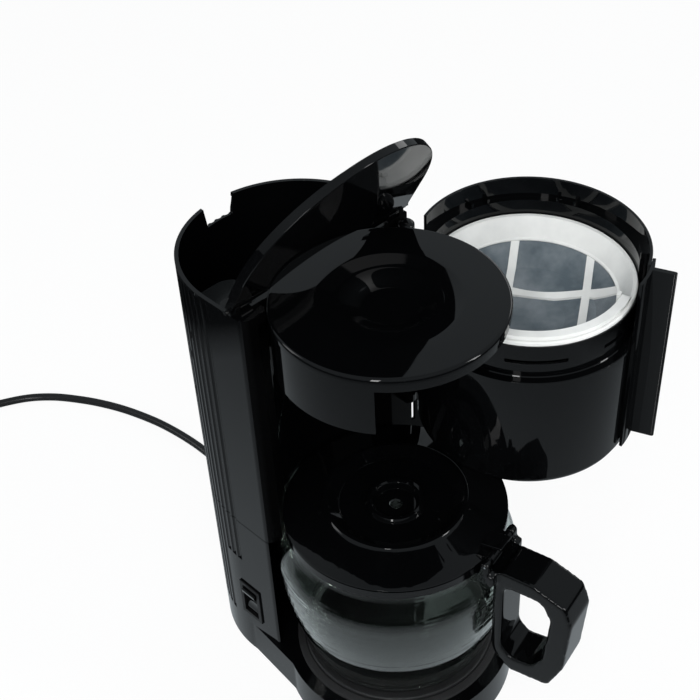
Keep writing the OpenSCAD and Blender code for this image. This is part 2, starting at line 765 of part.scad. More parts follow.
ring_out = head_r - 0.6;
ring_wall = 1.6;
head_back = front_x + 0.1;
module head_housing() color([0.06, 0.06, 0.065]) difference() {
    union() {
        // short skirt all round, and its inner flange
        translate([0, 0, skirt_z]) wall_ring(ring_out, ring_out - 2.2, skirt_short - 0.1);
        translate([0, 0, skirt_z]) wall_ring(ring_out - 1, dish_r + 4, 1.8);
        translate([0, 0, skirt_z]) wall_ring(dish_r + 5.6, dish_r + 4, skirt_short - 0.1);
        // bridge that holds the spray arm
        translate([-dish_r - 4.5, -5, skirt_z]) cube([2 * dish_r + 9, 10, 1.4]);
        // deep skirt on the switch side
        wall_sector(ring_out, ring_out - ring_wall, skirt_low_z, skirt_z + 1, -160, skirt_end);
        // rear rail on the tank's front face
        translate([head_back, -38, skirt_z]) cube([2, 76, skirt_short - 0.1]);
    }
    translate([head_back - big, -big / 2, 0]) cube([big, big, big]);
    spray_tube(spray_tube_r + part_gap);
}

module cap_profile() polygon(concat(
    [[0, head_top - dish_depth - cap_t], [dish_floor_r, head_top - dish_depth - cap_t],
     [dish_r + 1.5, head_top - cap_t], [head_r - cap_t, head_top - cap_t - 0.8],
     [head_r - cap_t, lip_z], [head_r, lip_z]],
    [for (a = [0:15:90]) [head_r - cap_round, head_top - cap_round - 0.5] + polar(cap_round, a)],
    [[dish_r + 1.2, head_top], [dish_r, head_top - 0.4], [dish_floor_r + 1, head_top - dish_depth + 0.3],
     [dish_floor_r - 1, head_top - dish_depth], [0, head_top - dish_depth]]
));
cap_t = 2;
cap_round = 2;
module head_cap() color([0.05, 0.05, 0.055]) difference() {
    rotate_extrude($fn = 160) cap_profile();
    translate([head_back - big, -big / 2, 0]) cube([big, big, big]);
}

module swing_pin() color([0.08, 0.08, 0.08]) translate([pivot[0], pivot[1], 0]) {
    translate([0, 0, bracket_low_z - 1]) cylinder(r = pin_r, h = skirt_z - bracket_low_z + 2, $fn = 48);
    translate([0, 0, bracket_low_z - 2.5]) cylinder(r = pin_r + 1.2, h = 2, $fn = 48);
    translate([0, 0, skirt_z + 0.1]) rotate_extrude($fn = 48)
        polygon([[0, 0], [barrel_r, 0], [barrel_r, 5], [barrel_r - 1.4, 6.4], [0, 7]]);
}

// ---------- tank lid ----------

lid_top = tank_top + part_gap + lid_edge;
lid_low = tank_top + part_gap;
lid_front = hinge_x - 0.2;
lid_r = tank_r + 0.5;
module lid_plan(inset, over = lid_over) intersection() {
    union() {
        translate([tank_cx - over, 0]) circle(r = lid_r - inset, $fn = 128);
        translate([tank_cx - over, -(lid_r - inset)]) square([big, 2 * (lid_r - inset)]);
    }
    translate([-big, -big / 2]) square([big + lid_front - inset, big]);
}

module closed_lid() difference() {
    union() {
        difference() {
            translate([0, 0, lid_low]) linear_extrude(lid_top - lid_low) lid_plan(0);
            translate([0, 0, lid_low - 1]) linear_extrude(lid_top - lid_t - lid_low + 1) lid_plan(1.8);
        }
        // rib that locates the lid inside the rim
        translate([0, 0, tank_top - 2.5]) linear_extrude(lid_top - lid_t - tank_top + 2.6) difference() {
            lid_plan(wall + 1.2, 0);
            lid_plan(wall + 2.6, 0);
        }
        for (s = [-1, 1]) lid_knuckle(s);
    }
    for (s = [-1, 1]) {
        // clearance for the ears
        translate([hinge_x, s * (ear_y + ear_t / 2), hinge_z]) rotate([90, 0, 0])
            cylinder(r = knuckle_r + 1, h = ear_t + 2 * part_gap, center = true, $fn = 48);
        translate([hinge_x - knuckle_r - 1, s * (ear_y + ear_t / 2) - ear_t / 2 - part_gap, tank_top - 5])
            cube([2 * knuckle_r + 2, ear_t + 2 * part_gap, 8.2]);
    }
    translate([hinge_x, tank_r + 5, hinge_z]) rotate([90, 0, 0])
        cylinder(r = lid_pin_r + run_gap, h = 2 * tank_r + 10, $fn = 32);
}
knuckle_w = 8;
module lid_knuckle(side) translate([hinge_x, side * (ear_y - part_gap - knuckle_w / 2), hinge_z])
    rotate([90, 0, 0]) cylinder(r = knuckle_r, h = knuckle_w, center = true, $fn = 48);

module tank_lid() color([0.06, 0.06, 0.065])
    translate([hinge_x, 0, hinge_z]) rotate([0, lid_open, 0]) translate([-hinge_x, 0, -hinge_z])
        closed_lid();

// ---------- filter holder ----------

skin_r = filter_r + 0.5;
skin_start = -44;
tall_start = -63;
tall_end = 112;
grip_turn = -65.3;
drip_bore_r = 3;
inner_r = holder_r - holder_wall;
module holder_profile() polygon([
    [drip_bore_r + run_gap, holder_z + 1.5], [14, holder_z + 1.5], [16, holder_z], [holder_r - 6, holder_z],
    [holder_r - 2, holder_z + 1.8], [holder_r, holder_z + 6], [holder_r, ledge_z - 2],
    [holder_r + 0.7, ledge_z - 1.6], [holder_r + 0.7, ledge_z - 0.4], [holder_r, ledge_z],
    [low_wall_r + 0.4, ledge_z], [low_wall_r, ledge_z + 0.6], [low_wall_r, low_wall_z],
    [low_wall_r - 1.8, low_wall_z], [low_wall_r - 1.8, ledge_z - holder_wall],
    [inner_r, ledge_z - holder_wall - 2], [inner_r, holder_z + 7], [inner_r - 4, holder_z + 4.4],
    [20, holder_z + 4], [14, holder_z + 4.4], [drip_bore_r + run_gap, holder_z + 4.4]
]);

module closed_holder() difference() {
    union() {
        rotate_extrude($fn = 160) holder_profile();
        // tall wall with its inner step
        wall_sector(tall_r, tall_r - tall_wall, ledge_z - 2, holder_top_z, tall_start, tall_end);
        wall_sector(tall_r - 0.5, skin_r, ledge_z - 1.5, ledge_z + 0.5, tall_start + 1, tall_end - 1);
        wall_sector(tall_r - 0.5, skin_r, step_z - 1.8, step_z, skin_start, tall_end - 1);
        wall_sector(skin_r + 1.6, skin_r, low_wall_z - 2, step_z - 0.5, skin_start, tall_end - 2);
        for (a = [18, 28, 67, 77]) rotate([0, 0, a]) translate([skin_r + 0.4, -0.8, step_z - 1])
            cube([tall_r - skin_r - 1, 1.6, 4]);
        // latch post at the end of the tall wall
        rotate([0, 0, skin_start]) translate([skin_r + 0.2, -0.4, low_wall_z - 1.6])
            cube([tall_r - skin_r - 1, 9, 19]);
        // lugs on the swing pin
        for (z = lug_zs) swing_lug(z[0], z[1], z[2]);
    }
    for (z = lug_zs) translate([pivot[0], pivot[1], z[0] - 1])
        cylinder(r = pin_bore_r, h = z[1] + 2, $fn = 48);
    // steam slots in the low wall
    for (a = [[-151, -118], [-96, -79]])
        wall_sector(low_wall_r + 2, low_wall_r - 4, slot_z, slot_z + slot_h, a[0], a[1]);
}
slot_z = ledge_z + 9.5;
slot_h = 2.6;
// lower and upper lug: height of its underside, its own height, and the radius it starts at
lug_top_z = skirt_z - bracket_t - part_gap;
lug_zs = [
    [bracket_low_z + bracket_t + part_gap, 16, holder_r - 1],
    [ledge_z - 1, lug_top_z - ledge_z + 1, skin_r]
];
module swing_lug(z, h, reach_in) {
    angle = atan2(pivot[1], pivot[0]);
    translate([0, 0, z]) linear_extrude(h) difference() {
        union() {
            translate(pivot) circle(r = barrel_r, $fn = 48);
            rotate([0, 0, angle]) translate([reach_in, -4]) square([norm(pivot) - reach_in, 8]);
        }
        circle(r = reach_in, $fn = 128);
    }
}

module filter_holder() color([0.06, 0.06, 0.065]) swing_out() closed_holder();

grip_low_z = holder_z + 6;
module closed_grip() {
    root = tall_r + 0.15;
    // radial plate with a rounded outer edge
    rotate([0, 0, grip_turn]) translate([0, 0, grip_low_z]) linear_extrude(holder_top_z - grip_low_z) {
        translate([root, -grip_t / 2]) square([grip_r - root - grip_t / 2, grip_t]);
        translate([grip_r - grip_t / 2, 0]) circle(r = grip_t / 2, $fn = 32);
    }
    // shoe that lies on the holder's body
    wall_sector(tall_r + 2, tall_r + 0.15, grip_low_z, holder_top_z, grip_turn - 14, grip_turn + 8);
    wall_sector(tall_r + 0.6, holder_r + 0.1, grip_low_z + 6, ledge_z - 3, grip_turn - 12, grip_turn + 7);
}
module holder_grip() color([0.07, 0.07, 0.075]) swing_out() closed_grip();

// drip stop in the holder's floor
plunger_low_z = holder_z - 5;
module drip_plunger() color([0.80, 0.80, 0.78]) swing_out() {
    translate([0, 0, plunger_low_z]) cylinder(r = drip_bore_r, h = 12, $fn = 48);
    translate([0, 0, holder_z + 4.4 + 2]) cylinder(r = 6, h = 1.6, $fn = 48);
    translate([0, 0, plunger_low_z + 11]) cylinder(r = 2, h = 12, $fn = 32);
}
module drip_seal() color([0.45, 0.22, 0.18]) swing_out() translate([0, 0, holder_z + 4.5]) difference() {
    cylinder(r = 6.5, h = 1.8, $fn = 48);
    translate([0, 0, -1]) cylinder(r = drip_bore_r + 0.1, h = 4, $fn = 48);
}
cage_z = holder_z + 20;
module drip_cage() color([0.10, 0.10, 0.11]) swing_out() {
    translate([0, 0, cage_z]) difference() {
        cylinder(r = 9, h = 1.6, $fn = 48);
        translate([0, 0, -1]) cylinder(r = 2.4, h = 4, $fn = 32);
    }
    for (a = [0, 120, 240]) rotate([0, 0, a]) translate([7.4, -1.5, holder_z + 4.5])
        cube([1.6, 3, cage_z - holder_z - 4.5 + 1]);
}

// Compression spring between the plunger's flange and the cage
spring_turns = 5;
spring_r = 4.2;
spring_wire = 0.7;
spring_z0 = holder_z + 8.1 + spring_wire / 2;
spring_z1 = cage_z - 0.1 - spring_wire / 2;
spring_steps = 60;
spring_sides = 6;
module drip_spring() color([0.75, 0.76, 0.78]) swing_out() {
    points = [for (i = [0:spring_steps], k = [0:spring_sides - 1])
        let (t = i / spring_steps, a = 360 * spring_turns * t, b = 360 * k / spring_sides,
             r = spring_r + spring_wire / 2 * cos(b))
        [r * cos(a), r * sin(a), spring_z0 + (spring_z1 - spring_z0) * t + spring_wire / 2 * sin(b)]];
    tube_mesh(points, spring_steps + 1, spring_sides);
}

// ---------- permanent filter ----------

filter_seat_z = low_wall_z + 0.1;
filter_rim_z = filter_seat_z + 2.4;
mesh_edge_z = filter_rim_z - mesh_depth;
bowl_depth = 20;
bowl_floor_r = 22;
rib_t = 1.6;
mesh_t = 0.5;
function bowl(dz) = [[mesh_r + 1, mesh_edge_z + dz], [mesh_r - 12, mesh_edge_z - 0.62 * bowl_depth + dz],
    [bowl_floor_r, mesh_edge_z - 0.94 * bowl_depth + dz], [0, mesh_edge_z - bowl_depth + dz]];
module bowl_shell(z0, z1) rotate_extrude($fn = 96)
    polygon(concat(bowl(z1), [for (i = [3:-1:0]) bowl(z0)[i]]));

bail_turn = 110.8;
bail_r = filter_r - 1.6;
bail_tab_r = bail_r - 6.8;
bail_w = 5.6;
bail_z = filter_rim_z + 1.6;
bail_t = 2.6;
bail_pin_r = 1;
module rib_bars() {
    rotate([0, 0, 34.8]) {
        for (y = [-32.2, 15.6]) translate([-70, y - rib_w / 2, 0]) cube([140, rib_w, big]);
        translate([20 - rib_w / 2, -32.2, 0]) cube([rib_w, 70, big]);
        translate([-26 - rib_w / 2, -32.2, 0]) cube([rib_w, 70, big]);
        translate([20, -32.2, 0]) rotate([0, 0, -116]) translate([0, -rib_w / 2, 0]) cube([60, rib_w, big]);
    }
}
module filter_frame() color([0.90, 0.90, 0.88]) swing_out() difference() {
    union() {
        rotate_extrude($fn = 160) polygon([
            [filter_r, filter_seat_z], [filter_r, filter_rim_z - 0.6], [filter_r - 0.6, filter_rim_z],
            [filter_r - 3, filter_rim_z], [mesh_r + 1, mesh_edge_z + 1.4], [mesh_r - 0.6, mesh_edge_z + 0.8],
            [mesh_r - 0.6, mesh_edge_z], [mesh_r + 2.2, mesh_edge_z], [filter_r - 3.2, filter_seat_z]
        ]);
        intersection() {
            bowl_shell(0.05, rib_t);
            rib_bars();
        }
        rotate([0, 0, bail_turn]) for (s = [-1, 1]) translate([s * bail_tab_r - 1.1, -2, mesh_edge_z + 2.1])
            cube([2.2, 4, bail_z + 2 - mesh_edge_z - 2.1]);
    }
    rotate([0, 0, bail_turn]) translate([-70, 0, bail_z]) rotate([0, 90, 0])
        cylinder(r = bail_pin_r + run_gap, h = 140, $fn = 24);
}

module filter_mesh() color([0.55, 0.58, 0.61]) swing_out() bowl_shell(-mesh_t, 0);

module filter_handle() color([0.93, 0.93, 0.91]) swing_out() rotate([0, 0, bail_turn]) {
    wall_sector(bail_r, bail_r - bail_w, bail_z - bail_t / 2, bail_z + bail_t / 2, 3, 177);
    for (s = [-1, 1]) {
        translate([s * (bail_r - bail_w / 2), 0, bail_z]) rotate([0, 90, 0])
            cylinder(r = bail_t / 2, h = bail_w - 0.4, center = true, $fn = 32);
        translate([s * (bail_tab_r + 1), 0, bail_z]) rotate([0, 90, 0])
            cylinder(r = bail_pin_r, h = 4.6, center = true, $fn = 24);
        translate([s * (bail_r - bail_w / 2) - bail_w / 2 + 0.2, 0, bail_z - bail_t / 2])
            cube([bail_w - 0.4, 3.4, bail_t]);
    }
}

// ---------- jug ----------

jug_z = plate_z + 0.05;
jug_foot_r = 52;
jug_corner = 10;
belly_z = 116;
neck_z = 146;
neck_r = 66.5;
rim_z = 151;
curve_steps = 12;
function side_r(t) = jug_foot_r + jug_corner + (jug_r - jug_foot_r - jug_corner) * sin(90 * t);
function neck_curve(t) = neck_r + (jug_r - neck_r) * (0.5 + 0.5 * cos(180 * t));
function glass_line(in) = concat(
    [for (a = [-90:15:0]) [jug_foot_r, jug_z + jug_corner] + polar(jug_corner - in, a)],
    [for (i = [1:curve_steps]) let (t = i / curve_steps)
        [side_r(t) - in, jug_z + jug_corner + (belly_z - jug_z - jug_corner) * t]],
    [for (i = [1:curve_steps]) let (t = i / curve_steps)
        [neck_curve(t) - in, belly_z + (neck_z - belly_z) * t]],
    [[neck_r + 1 - in, rim_z]]
);
module jug_glass() color([0.80, 0.86, 0.84, 0.35]) rotate_extrude($fn = 160) polygon(concat(
    [[0, jug_z]], glass_line(0),
    [for (i = [len(glass_line(glass_t)) - 1:-1:0]) glass_line(glass_t)[i]],
    [[0, jug_z + glass_t]]
));

band_low = neck_z - 1;
band_top = rim_z - 0.6;
module jug_band() color([0.07, 0.07, 0.07]) difference() {
    union() {
        translate([0, 0, band_low]) cylinder(r = neck_r + 2.6, h = band_top - band_low, $fn = 160);
        along_handle() band_tail(0);
    }
    translate([0, 0, band_low - 1]) cylinder(r = neck_r + 1.1, h = band_top - band_low + 2, $fn = 160);
    along_handle() translate([spine_x - 4, 0, screw_hole_z]) rotate([0, 90, 0])
        cylinder(r = screw_hole_r, h = 8, $fn = 24);
}

// tail of the band, to which the handle is screwed
module band_tail(grow) translate([0, 6 + grow, 0]) rotate([90, 0, 0]) linear_extrude(12 + 2 * grow)
    offset(delta = grow) polygon([
        [neck_r + 1.4, band_top - 0.4], [neck_r + 2.5, band_top - 0.4], [neck_r + 2.5, band_low],
        [spine_x - 0.3, 140.5], [spine_x - 0.3, 124], [spine_x - 1.6, 124],
        [spine_x - 1.6, 139.6], [neck_r + 1.4, 144]
    ]);

// handle outline in the plane of the handle: distance from the axis, height
handle_top = 148;
handle_low = 62;
handle_bar = 14;
spine_x = jug_r + 0.4;
module handle_outline() difference() {
    offset(r = 5, $fn = 24) offset(delta = -5) polygon([
        [spine_x, handle_top - 22], [spine_x, handle_top - 6], [neck_r + 3.2, handle_top - 4],
        [neck_r + 3.2, handle_top], [handle_reach - 26, handle_top], [handle_reach - 5, handle_top - 8],
        [handle_reach, handle_top - 22], [handle_reach - 3, handle_low + 22],
        [handle_reach - 12, handle_low], [spine_x + 14, handle_low - 2],
        [spine_x + 4, handle_low + 6], [spine_x, handle_low + 16]
    ]);
    offset(r = 6, $fn = 24) offset(delta = -6) polygon([
        [spine_x + 7, handle_top - 12], [handle_reach - 20, handle_top - 12],
        [handle_reach - handle_bar, handle_top - 24], [handle_reach - handle_bar - 3, handle_low + 24],
        [handle_reach - handle_bar - 10, handle_low + 12], [spine_x + 14, handle_low + 10],
        [spine_x + 7, handle_low + 18]
    ]);
}
jug_hinge_x = 72;
jug_hinge_z = 153;
jug_knuckle_r = 3;
jug_pin_r = 1.2;
ear_in = 12.5;
ear_out = 19;
module jug_handle() color([0.06, 0.06, 0.065]) along_handle() difference() {
    union() {
        translate([0, handle_w / 2, 0]) rotate([90, 0, 0]) linear_extrude(handle_w) handle_outline();
        // head of the handle that clasps the band
        difference() {
            translate([neck_r - 4, -ear_out, handle_top - 10]) cube([16, 2 * ear_out, 9.4]);
            translate([0, 0, handle_top - 20]) cylinder(r = neck_r + 2.9, h = 40, $fn = 160);
        }
        for (s = [-1, 1]) translate([jug_hinge_x, s * (ear_in + ear_out) / 2, jug_hinge_z]) hinge_ear();
    }
    // room for the glass and for the lid's thumb piece
    translate([0, 0, handle_low - 10]) cylinder(r = spine_x - 0.1, h = handle_top - 10 - handle_low + 2, $fn = 160);
    translate([neck_r - 4, -ear_in, handle_top - 4.5]) cube([18, 2 * ear_in, 10]);
    translate([jug_hinge_x, 30, jug_hinge_z]) rotate([90, 0, 0])
        cylinder(r = jug_pin_r, h = 60, $fn = 32);
    translate([spine_x - 2, 0, screw_hole_z]) rotate([0, 90, 0]) cylinder(r = screw_hole_r, h = 12, $fn = 24);
    band_tail(0.3);
}
screw_hole_z = 127.5;
screw_hole_r = 1.56;
module hinge_ear() rotate([90, 0, 0]) linear_extrude(ear_out - ear_in, center = true) {
    circle(r = jug_knuckle_r, $fn = 48);
    translate([-jug_knuckle_r, handle_top - 2 - jug_hinge_z]) square([2 * jug_knuckle_r, jug_hinge_z - handle_top + 2]);
}

module handle_screw() color([0.7, 0.71, 0.73]) along_handle()
    translate([spine_x - 0.1, 0, screw_hole_z]) rotate([0, 90, 0]) {
        translate([0, 0, -2]) cylinder(r = 1.5, h = 9.6, $fn = 24);
        translate([0, 0, 7.1]) rotate_extrude($fn = 32)
            polygon([[0, 0], [2.6, 0], [2.6, 0.8], [1.6, 1.6], [0, 1.8]]);
    }

module jug_hinge_pin() color([0.6, 0.6, 0.62]) along_handle()
    translate([jug_hinge_x, ear_out - 0.4, jug_hinge_z]) rotate([90, 0, 0])
        cylinder(r = jug_pin_r, h = 2 * ear_out - 0.8, $fn = 32);

lid_seat = rim_z + 0.3;
ring_r = 42;
hub_r = 16.5;
module jug_lid_profile() polygon([
    [4, jug_lid_top - 9], [hub_r - 4, jug_lid_top - 9], [hub_r - 2.2, jug_lid_top - 5],
    [hub_r - 1, jug_lid_top - 4.2], [hub_r + 1, jug_lid_top - 4.2], [hub_r + 2.4, jug_lid_top - 6.6],
    [ring_r - 8, jug_lid_top - 5.4], [ring_r - 2, jug_lid_top - 1.4], [ring_r, jug_lid_top],
    [ring_r + 2.2, jug_lid_top], [ring_r + 4, jug_lid_top - 1.8], [jug_lid_r - 8, jug_lid_top - 5.4],
    [jug_lid_r - 1.6, jug_lid_top - 7.4], [jug_lid_r, jug_lid_top - 8.2], [jug_lid_r, lid_seat],
    [neck_r - 4.4, lid_seat], [neck_r - 4.4, lid_seat - 5], [neck_r - 6, lid_seat - 5],
    [neck_r - 6, lid_seat], [ring_r + 4, jug_lid_top - 4.2], [ring_r, jug_lid_top - 3],
    [ring_r - 7, jug_lid_top - 7.6], [hub_r + 2, jug_lid_top - 8.8], [hub_r - 1, jug_lid_top - 11],
    [4, jug_lid_top - 11]
]);
module jug_lid() color([0.05, 0.05, 0.055]) difference() {
    union() {
        rotate_extrude($fn = 160) jug_lid_profile();
        along_handle() translate([jug_hinge_x, 0, jug_hinge_z]) rotate([90, 0, 0])
            linear_extrude(2 * ear_in - 2 * part_gap, center = true) {
                circle(r = jug_knuckle_r, $fn = 48);
                translate([-8, -1.5]) square([8, 3]);
            }
    }
    along_handle() translate([jug_hinge_x, 30, jug_hinge_z]) rotate([90, 0, 0])
        cylinder(r = jug_pin_r + run_gap, h = 60, $fn = 32);
    // room for the handle's ears
    along_handle() for (s = [-1, 1]) translate([jug_hinge_x - jug_knuckle_r - 0.6, s * (ear_in + ear_out) / 2 - 4, lid_seat - 1])
        cube([12, 8, 12]);
}

module lid_lever() color([0.06, 0.06, 0.065]) along_handle()
    translate([jug_hinge_x, 0, jug_hinge_z]) rotate([90, 0, 0])
        linear_extrude(12, center = true) difference() {
            polygon([[-9, 1.6], [-9, 4.2], [-2, 5.4], [3, 6.6], [5, 6], [3.4, 4.6], [0, 3.4], [-4, 3.2], [-6, 1.6]]);
            circle(r = jug_knuckle_r + 0.1, $fn = 48);
        }

// ---------- cord ----------

cord_r = cord_d / 2;
cord_low = cord_r;
// the cord's way over the table, from the strain relief to the coil
CORD_WAY = [
    [-176, 25, 21], [-186, 26, 19.5], [-196, 28, 16], [-206, 29.5, 11.5], [-216, 31, 7.2], [-228, 32.5, 4.2],
    [-242, 33.5, 3.1], [-260, 33.5, 3.1], [-280, 32, 3.1], [-300, 29, 3.1], [-320, 24, 3.1], [-338, 18, 3.1],
    [-356, 10, 3.1], [-372, 1, 3.1], [-388, -10, 3.1], [-402, -24, 3.1], [-412, -40, 3.1],
    [-420, -58, 3.1], [-426, -77, 3.1], [-431.4, -97, 3.1], [-435.5, -113, 3.1]
];
// the short run from the coil's upper turn to the plug
PLUG_WAY = [
    [-434.9, -106, 9.3], [-434.9, -113, 9.2], [-434.9, -121, 8.9], [-434.9, -130, 9.0], [-434.9, -140, 10.1]
];
CORD_SIDES = 8;

module cord_tube(w, r) {
    points = [for (i = [0:len(w) - 1], k = [0:CORD_SIDES - 1])
        let (d = way_dir(w, i), side = unit(cross([0, 0, 1], d)), up = cross(d, side),
             a = 360 * k / CORD_SIDES)
        w[i] + r * (cos(a) * side + sin(a) * up)];
    tube_mesh(points, len(w), CORD_SIDES);
}
module power_cord() color([0.05, 0.05, 0.05]) cord_tube(CORD_WAY, cord_r);

relief_len = 34.45;
relief_in = 9.6;
module strain_relief() color([0.05, 0.05, 0.05]) difference() {
    translate([relief_x - 0.05, relief_y, relief_z]) rotate([0, -90, 0]) rotate_extrude($fn = 48)
        polygon([
            [0, -relief_in - 1.6], [relief_r + 1.5, -relief_in - 1.6], [relief_r + 1.5, -relief_in],
            [relief_r - 0.1, -relief_in], [relief_r - 0.1, 0], [relief_r + 2.4, 0],
            [relief_r + 2.4, 2.2], [relief_r - 0.4, 3], [cord_r + 1.1, relief_len - 1],
            [cord_r + 0.9, relief_len], [0, relief_len]
        ]);
    // socket for the cord's end
    translate([relief_x - 0.05 - relief_len - 1, relief_y + 1, relief_z - 1]) rotate([0, 90, 0])
        cylinder(r = cord_r - 0.2, h = 1.5);
}

coil_at = [-472, -108];
coil_mid_r = 34;
coil_h = 12.4;
module cord_coil() color([0.05, 0.05, 0.05]) translate([coil_at[0], coil_at[1], 0]) rotate_extrude($fn = 64)
    polygon([
        [coil_mid_r - cord_d, 1], [coil_mid_r - cord_d + 1, 0], [coil_mid_r + cord_d - 1, 0],
        [coil_mid_r + cord_d, 1], [coil_mid_r + cord_d, coil_h - 2], [coil_mid_r + cord_d - 2, coil_h],
        [coil_mid_r - cord_d + 2, coil_h], [coil_mid_r - cord_d, coil_h - 2]
    ]);

module cord_tie() color([0.10, 0.10, 0.10]) translate([coil_at[0] - coil_mid_r, coil_at[1], 0])
    rotate([90, 0, 0]) linear_extrude(8, center = true) difference() {
        translate([-cord_d - 1.3, 0]) square([2 * cord_d + 2.6, coil_h + 1.3]);
        translate([-cord_d - 0.3, -1]) square([2 * cord_d + 0.6, coil_h + 1.3]);
    }

module plug_lead() color([0.05, 0.05, 0.05]) cord_tube(PLUG_WAY, cord_r);

// The plug lies on the table tilted, with the lead in its cord end
plug_r = 18;
plug_tilt = 10;
plug_len = 60;
plug_front_len = 16;
module at_plug() translate(PLUG_WAY[len(PLUG_WAY) - 1] + [0, -0.05, 0]) rotate([0, 0, -90])
    rotate([0, -plug_tilt, 0]) translate([plug_len, 0, 0]) children();
module plug_body() color([0.05, 0.05, 0.05]) at_plug() rotate([0, -90, 0]) rotate_extrude($fn = 64)
    polygon([
        [0, 0], [plug_r - 1, 0], [plug_r, 1], [plug_r, plug_front_len], [plug_r - 3, 24], [9, 36],
        [7, 40], [5.5, 52], [4.6, plug_len], [0, plug_len]
    ]);
module plug_pins() color([0.80, 0.80, 0.78]) for (s = [-1, 1])
    at_plug() translate([0.05, s * 9.5, 0]) rotate([0, 90, 0]) rotate_extrude($fn = 32)
        polygon([[0, 0], [2.4, 0], [2.4, 17], [1.4, 19], [0, 19]]);

base_housing();
base_cover();
base_screws();
feet();
hot_plate();
plate_seal();
heater();
heater_bracket();
thermostat();
thermal_fuse();
terminal_block();
switch_bezel();
switch_body();
switch_rocker();
tank_body();
tank_strainer();
check_valve();
tank_hose();
inlet_hose();
riser_hose();
hose_clamps();
spray_arm();
spray_head();
head_housing();
head_cap();
swing_pin();
lid_pins();
tank_lid();
filter_holder();
holder_grip();
drip_plunger();
drip_cage();
drip_seal();
drip_spring();
filter_frame();
filter_mesh();
filter_handle();
jug_glass();
jug_band();
jug_handle();
handle_screw();
jug_lid();
lid_lever();
jug_hinge_pin();
strain_relief();
power_cord();
cord_coil();
cord_tie();
plug_lead();
plug_body();
plug_pins();
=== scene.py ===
# %% [markdown]
# # A drip coffee maker
#
# The machine is two moulded towers on one base. The tall fluted one holds the
# cold water, the low one keeps the glass jug warm, and the brew head bridges
# them. The filter holder has been swung out to the side and the tank lid stands
# open. This lesson dresses the bare solids: it keeps every size and every joint,
# and adds the rounded edges, the finishes, the cord and the light.

import math

import bmesh
import bpy
from mathutils import Matrix, Vector


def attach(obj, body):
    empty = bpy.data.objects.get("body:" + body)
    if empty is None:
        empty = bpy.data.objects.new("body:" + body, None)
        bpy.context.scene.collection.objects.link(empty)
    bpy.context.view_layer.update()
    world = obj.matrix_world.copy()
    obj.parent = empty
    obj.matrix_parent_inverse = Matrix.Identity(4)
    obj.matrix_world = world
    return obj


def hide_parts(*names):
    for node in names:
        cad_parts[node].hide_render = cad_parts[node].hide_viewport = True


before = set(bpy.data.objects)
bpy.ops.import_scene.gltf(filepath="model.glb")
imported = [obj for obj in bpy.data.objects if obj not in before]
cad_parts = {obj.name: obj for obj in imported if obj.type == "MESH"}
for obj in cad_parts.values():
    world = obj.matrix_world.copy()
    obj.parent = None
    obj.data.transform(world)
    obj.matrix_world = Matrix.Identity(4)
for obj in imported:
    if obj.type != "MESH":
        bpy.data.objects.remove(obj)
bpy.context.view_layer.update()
scene = bpy.context.scene
MM = 0.001
print("solids:", len(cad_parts))

# %% [markdown]
# ## The camera
#
# It looks down at the machine from the front, on the jug's side, with a long lens
# so that the round parts stay round. The machine sits low and to the right in the
# frame. The lens is shifted for that and the camera isn't turned: a turn would
# change the way the uprights run together.

# %% Camera
LENS, SENSOR = 68.34, 36.0
SHIFT_ACROSS, SHIFT_UP = -0.1216, 0.0131
CAMERA_AT = Vector((0.395, -0.392, 0.755))
LOOK_DOWN, TURNED = math.radians(41.17), math.radians(42.73)
camera_data = bpy.data.cameras.new("view")
camera_data.lens = LENS
camera_data.sensor_width = SENSOR
camera_data.shift_x = SHIFT_ACROSS
camera_data.shift_y = SHIFT_UP
camera_data.clip_start = 0.01
camera = bpy.data.objects.new("view", camera_data)
camera.rotation_euler = (math.pi / 2 - LOOK_DOWN, 0, TURNED)
camera.location = CAMERA_AT
scene.collection.objects.link(camera)
scene.camera = camera
scene.view_settings.view_transform = "Standard"
print("camera at", [round(x, 3) for x in camera.location])

# %% [markdown]
# ## The mains cord
#
# A cord is a fixed length of something springy. It comes straight out of the
# strain relief, drops to the table, runs off in one lazy bend and lies in a tied
# coil. The curve is one open spline, so its length can be measured and no part of
# it can stretch. The coil fills four places: two turns side by side, and two on
# top of them. Each turn changes place at its own angle, so no two ever meet.

# %% The cord's way over the table
CORD_D = 6.2
TABLE_WAY = [
    (-176, 25, 21), (-186, 26, 19.5), (-196, 28, 16), (-206, 29.5, 11.5), (-216, 31, 7.2),
    (-228, 32.5, 4.2), (-242, 33.5, 3.1), (-260, 33.5, 3.1), (-280, 32, 3.1), (-300, 29, 3.1),
    (-320, 24, 3.1), (-338, 18, 3.1), (-356, 10, 3.1), (-372, 1, 3.1), (-388, -10, 3.1),
    (-402, -24, 3.1), (-412, -40, 3.1), (-420, -58, 3.1), (-426, -77, 3.1), (-431.4, -97, 3.1),
]
PLUG_WAY = [(-434.9, -121, 8.9), (-434.9, -130, 9.0), (-434.9, -140, 10.1)]
print("points by hand:", len(TABLE_WAY) + len(PLUG_WAY))

# %% The coil's turns
COIL_AT = (-472, -108)
COIL_START = -8
OUTER_TURN, INNER_TURN = 37.1, 30.9
LOWER_TURN, UPPER_TURN = 3.1, 9.3
FIRST_TRAVEL, LAST_TRAVEL = 2, 1072
GOES_IN, GOES_UP, GOES_OUT = 300, 580, 860
COIL_STEPS = 72


def ease(t):
    """A soft step from 0 to 1."""
    t = max(0.0, min(1.0, t))
    return t * t * (3 - 2 * t)


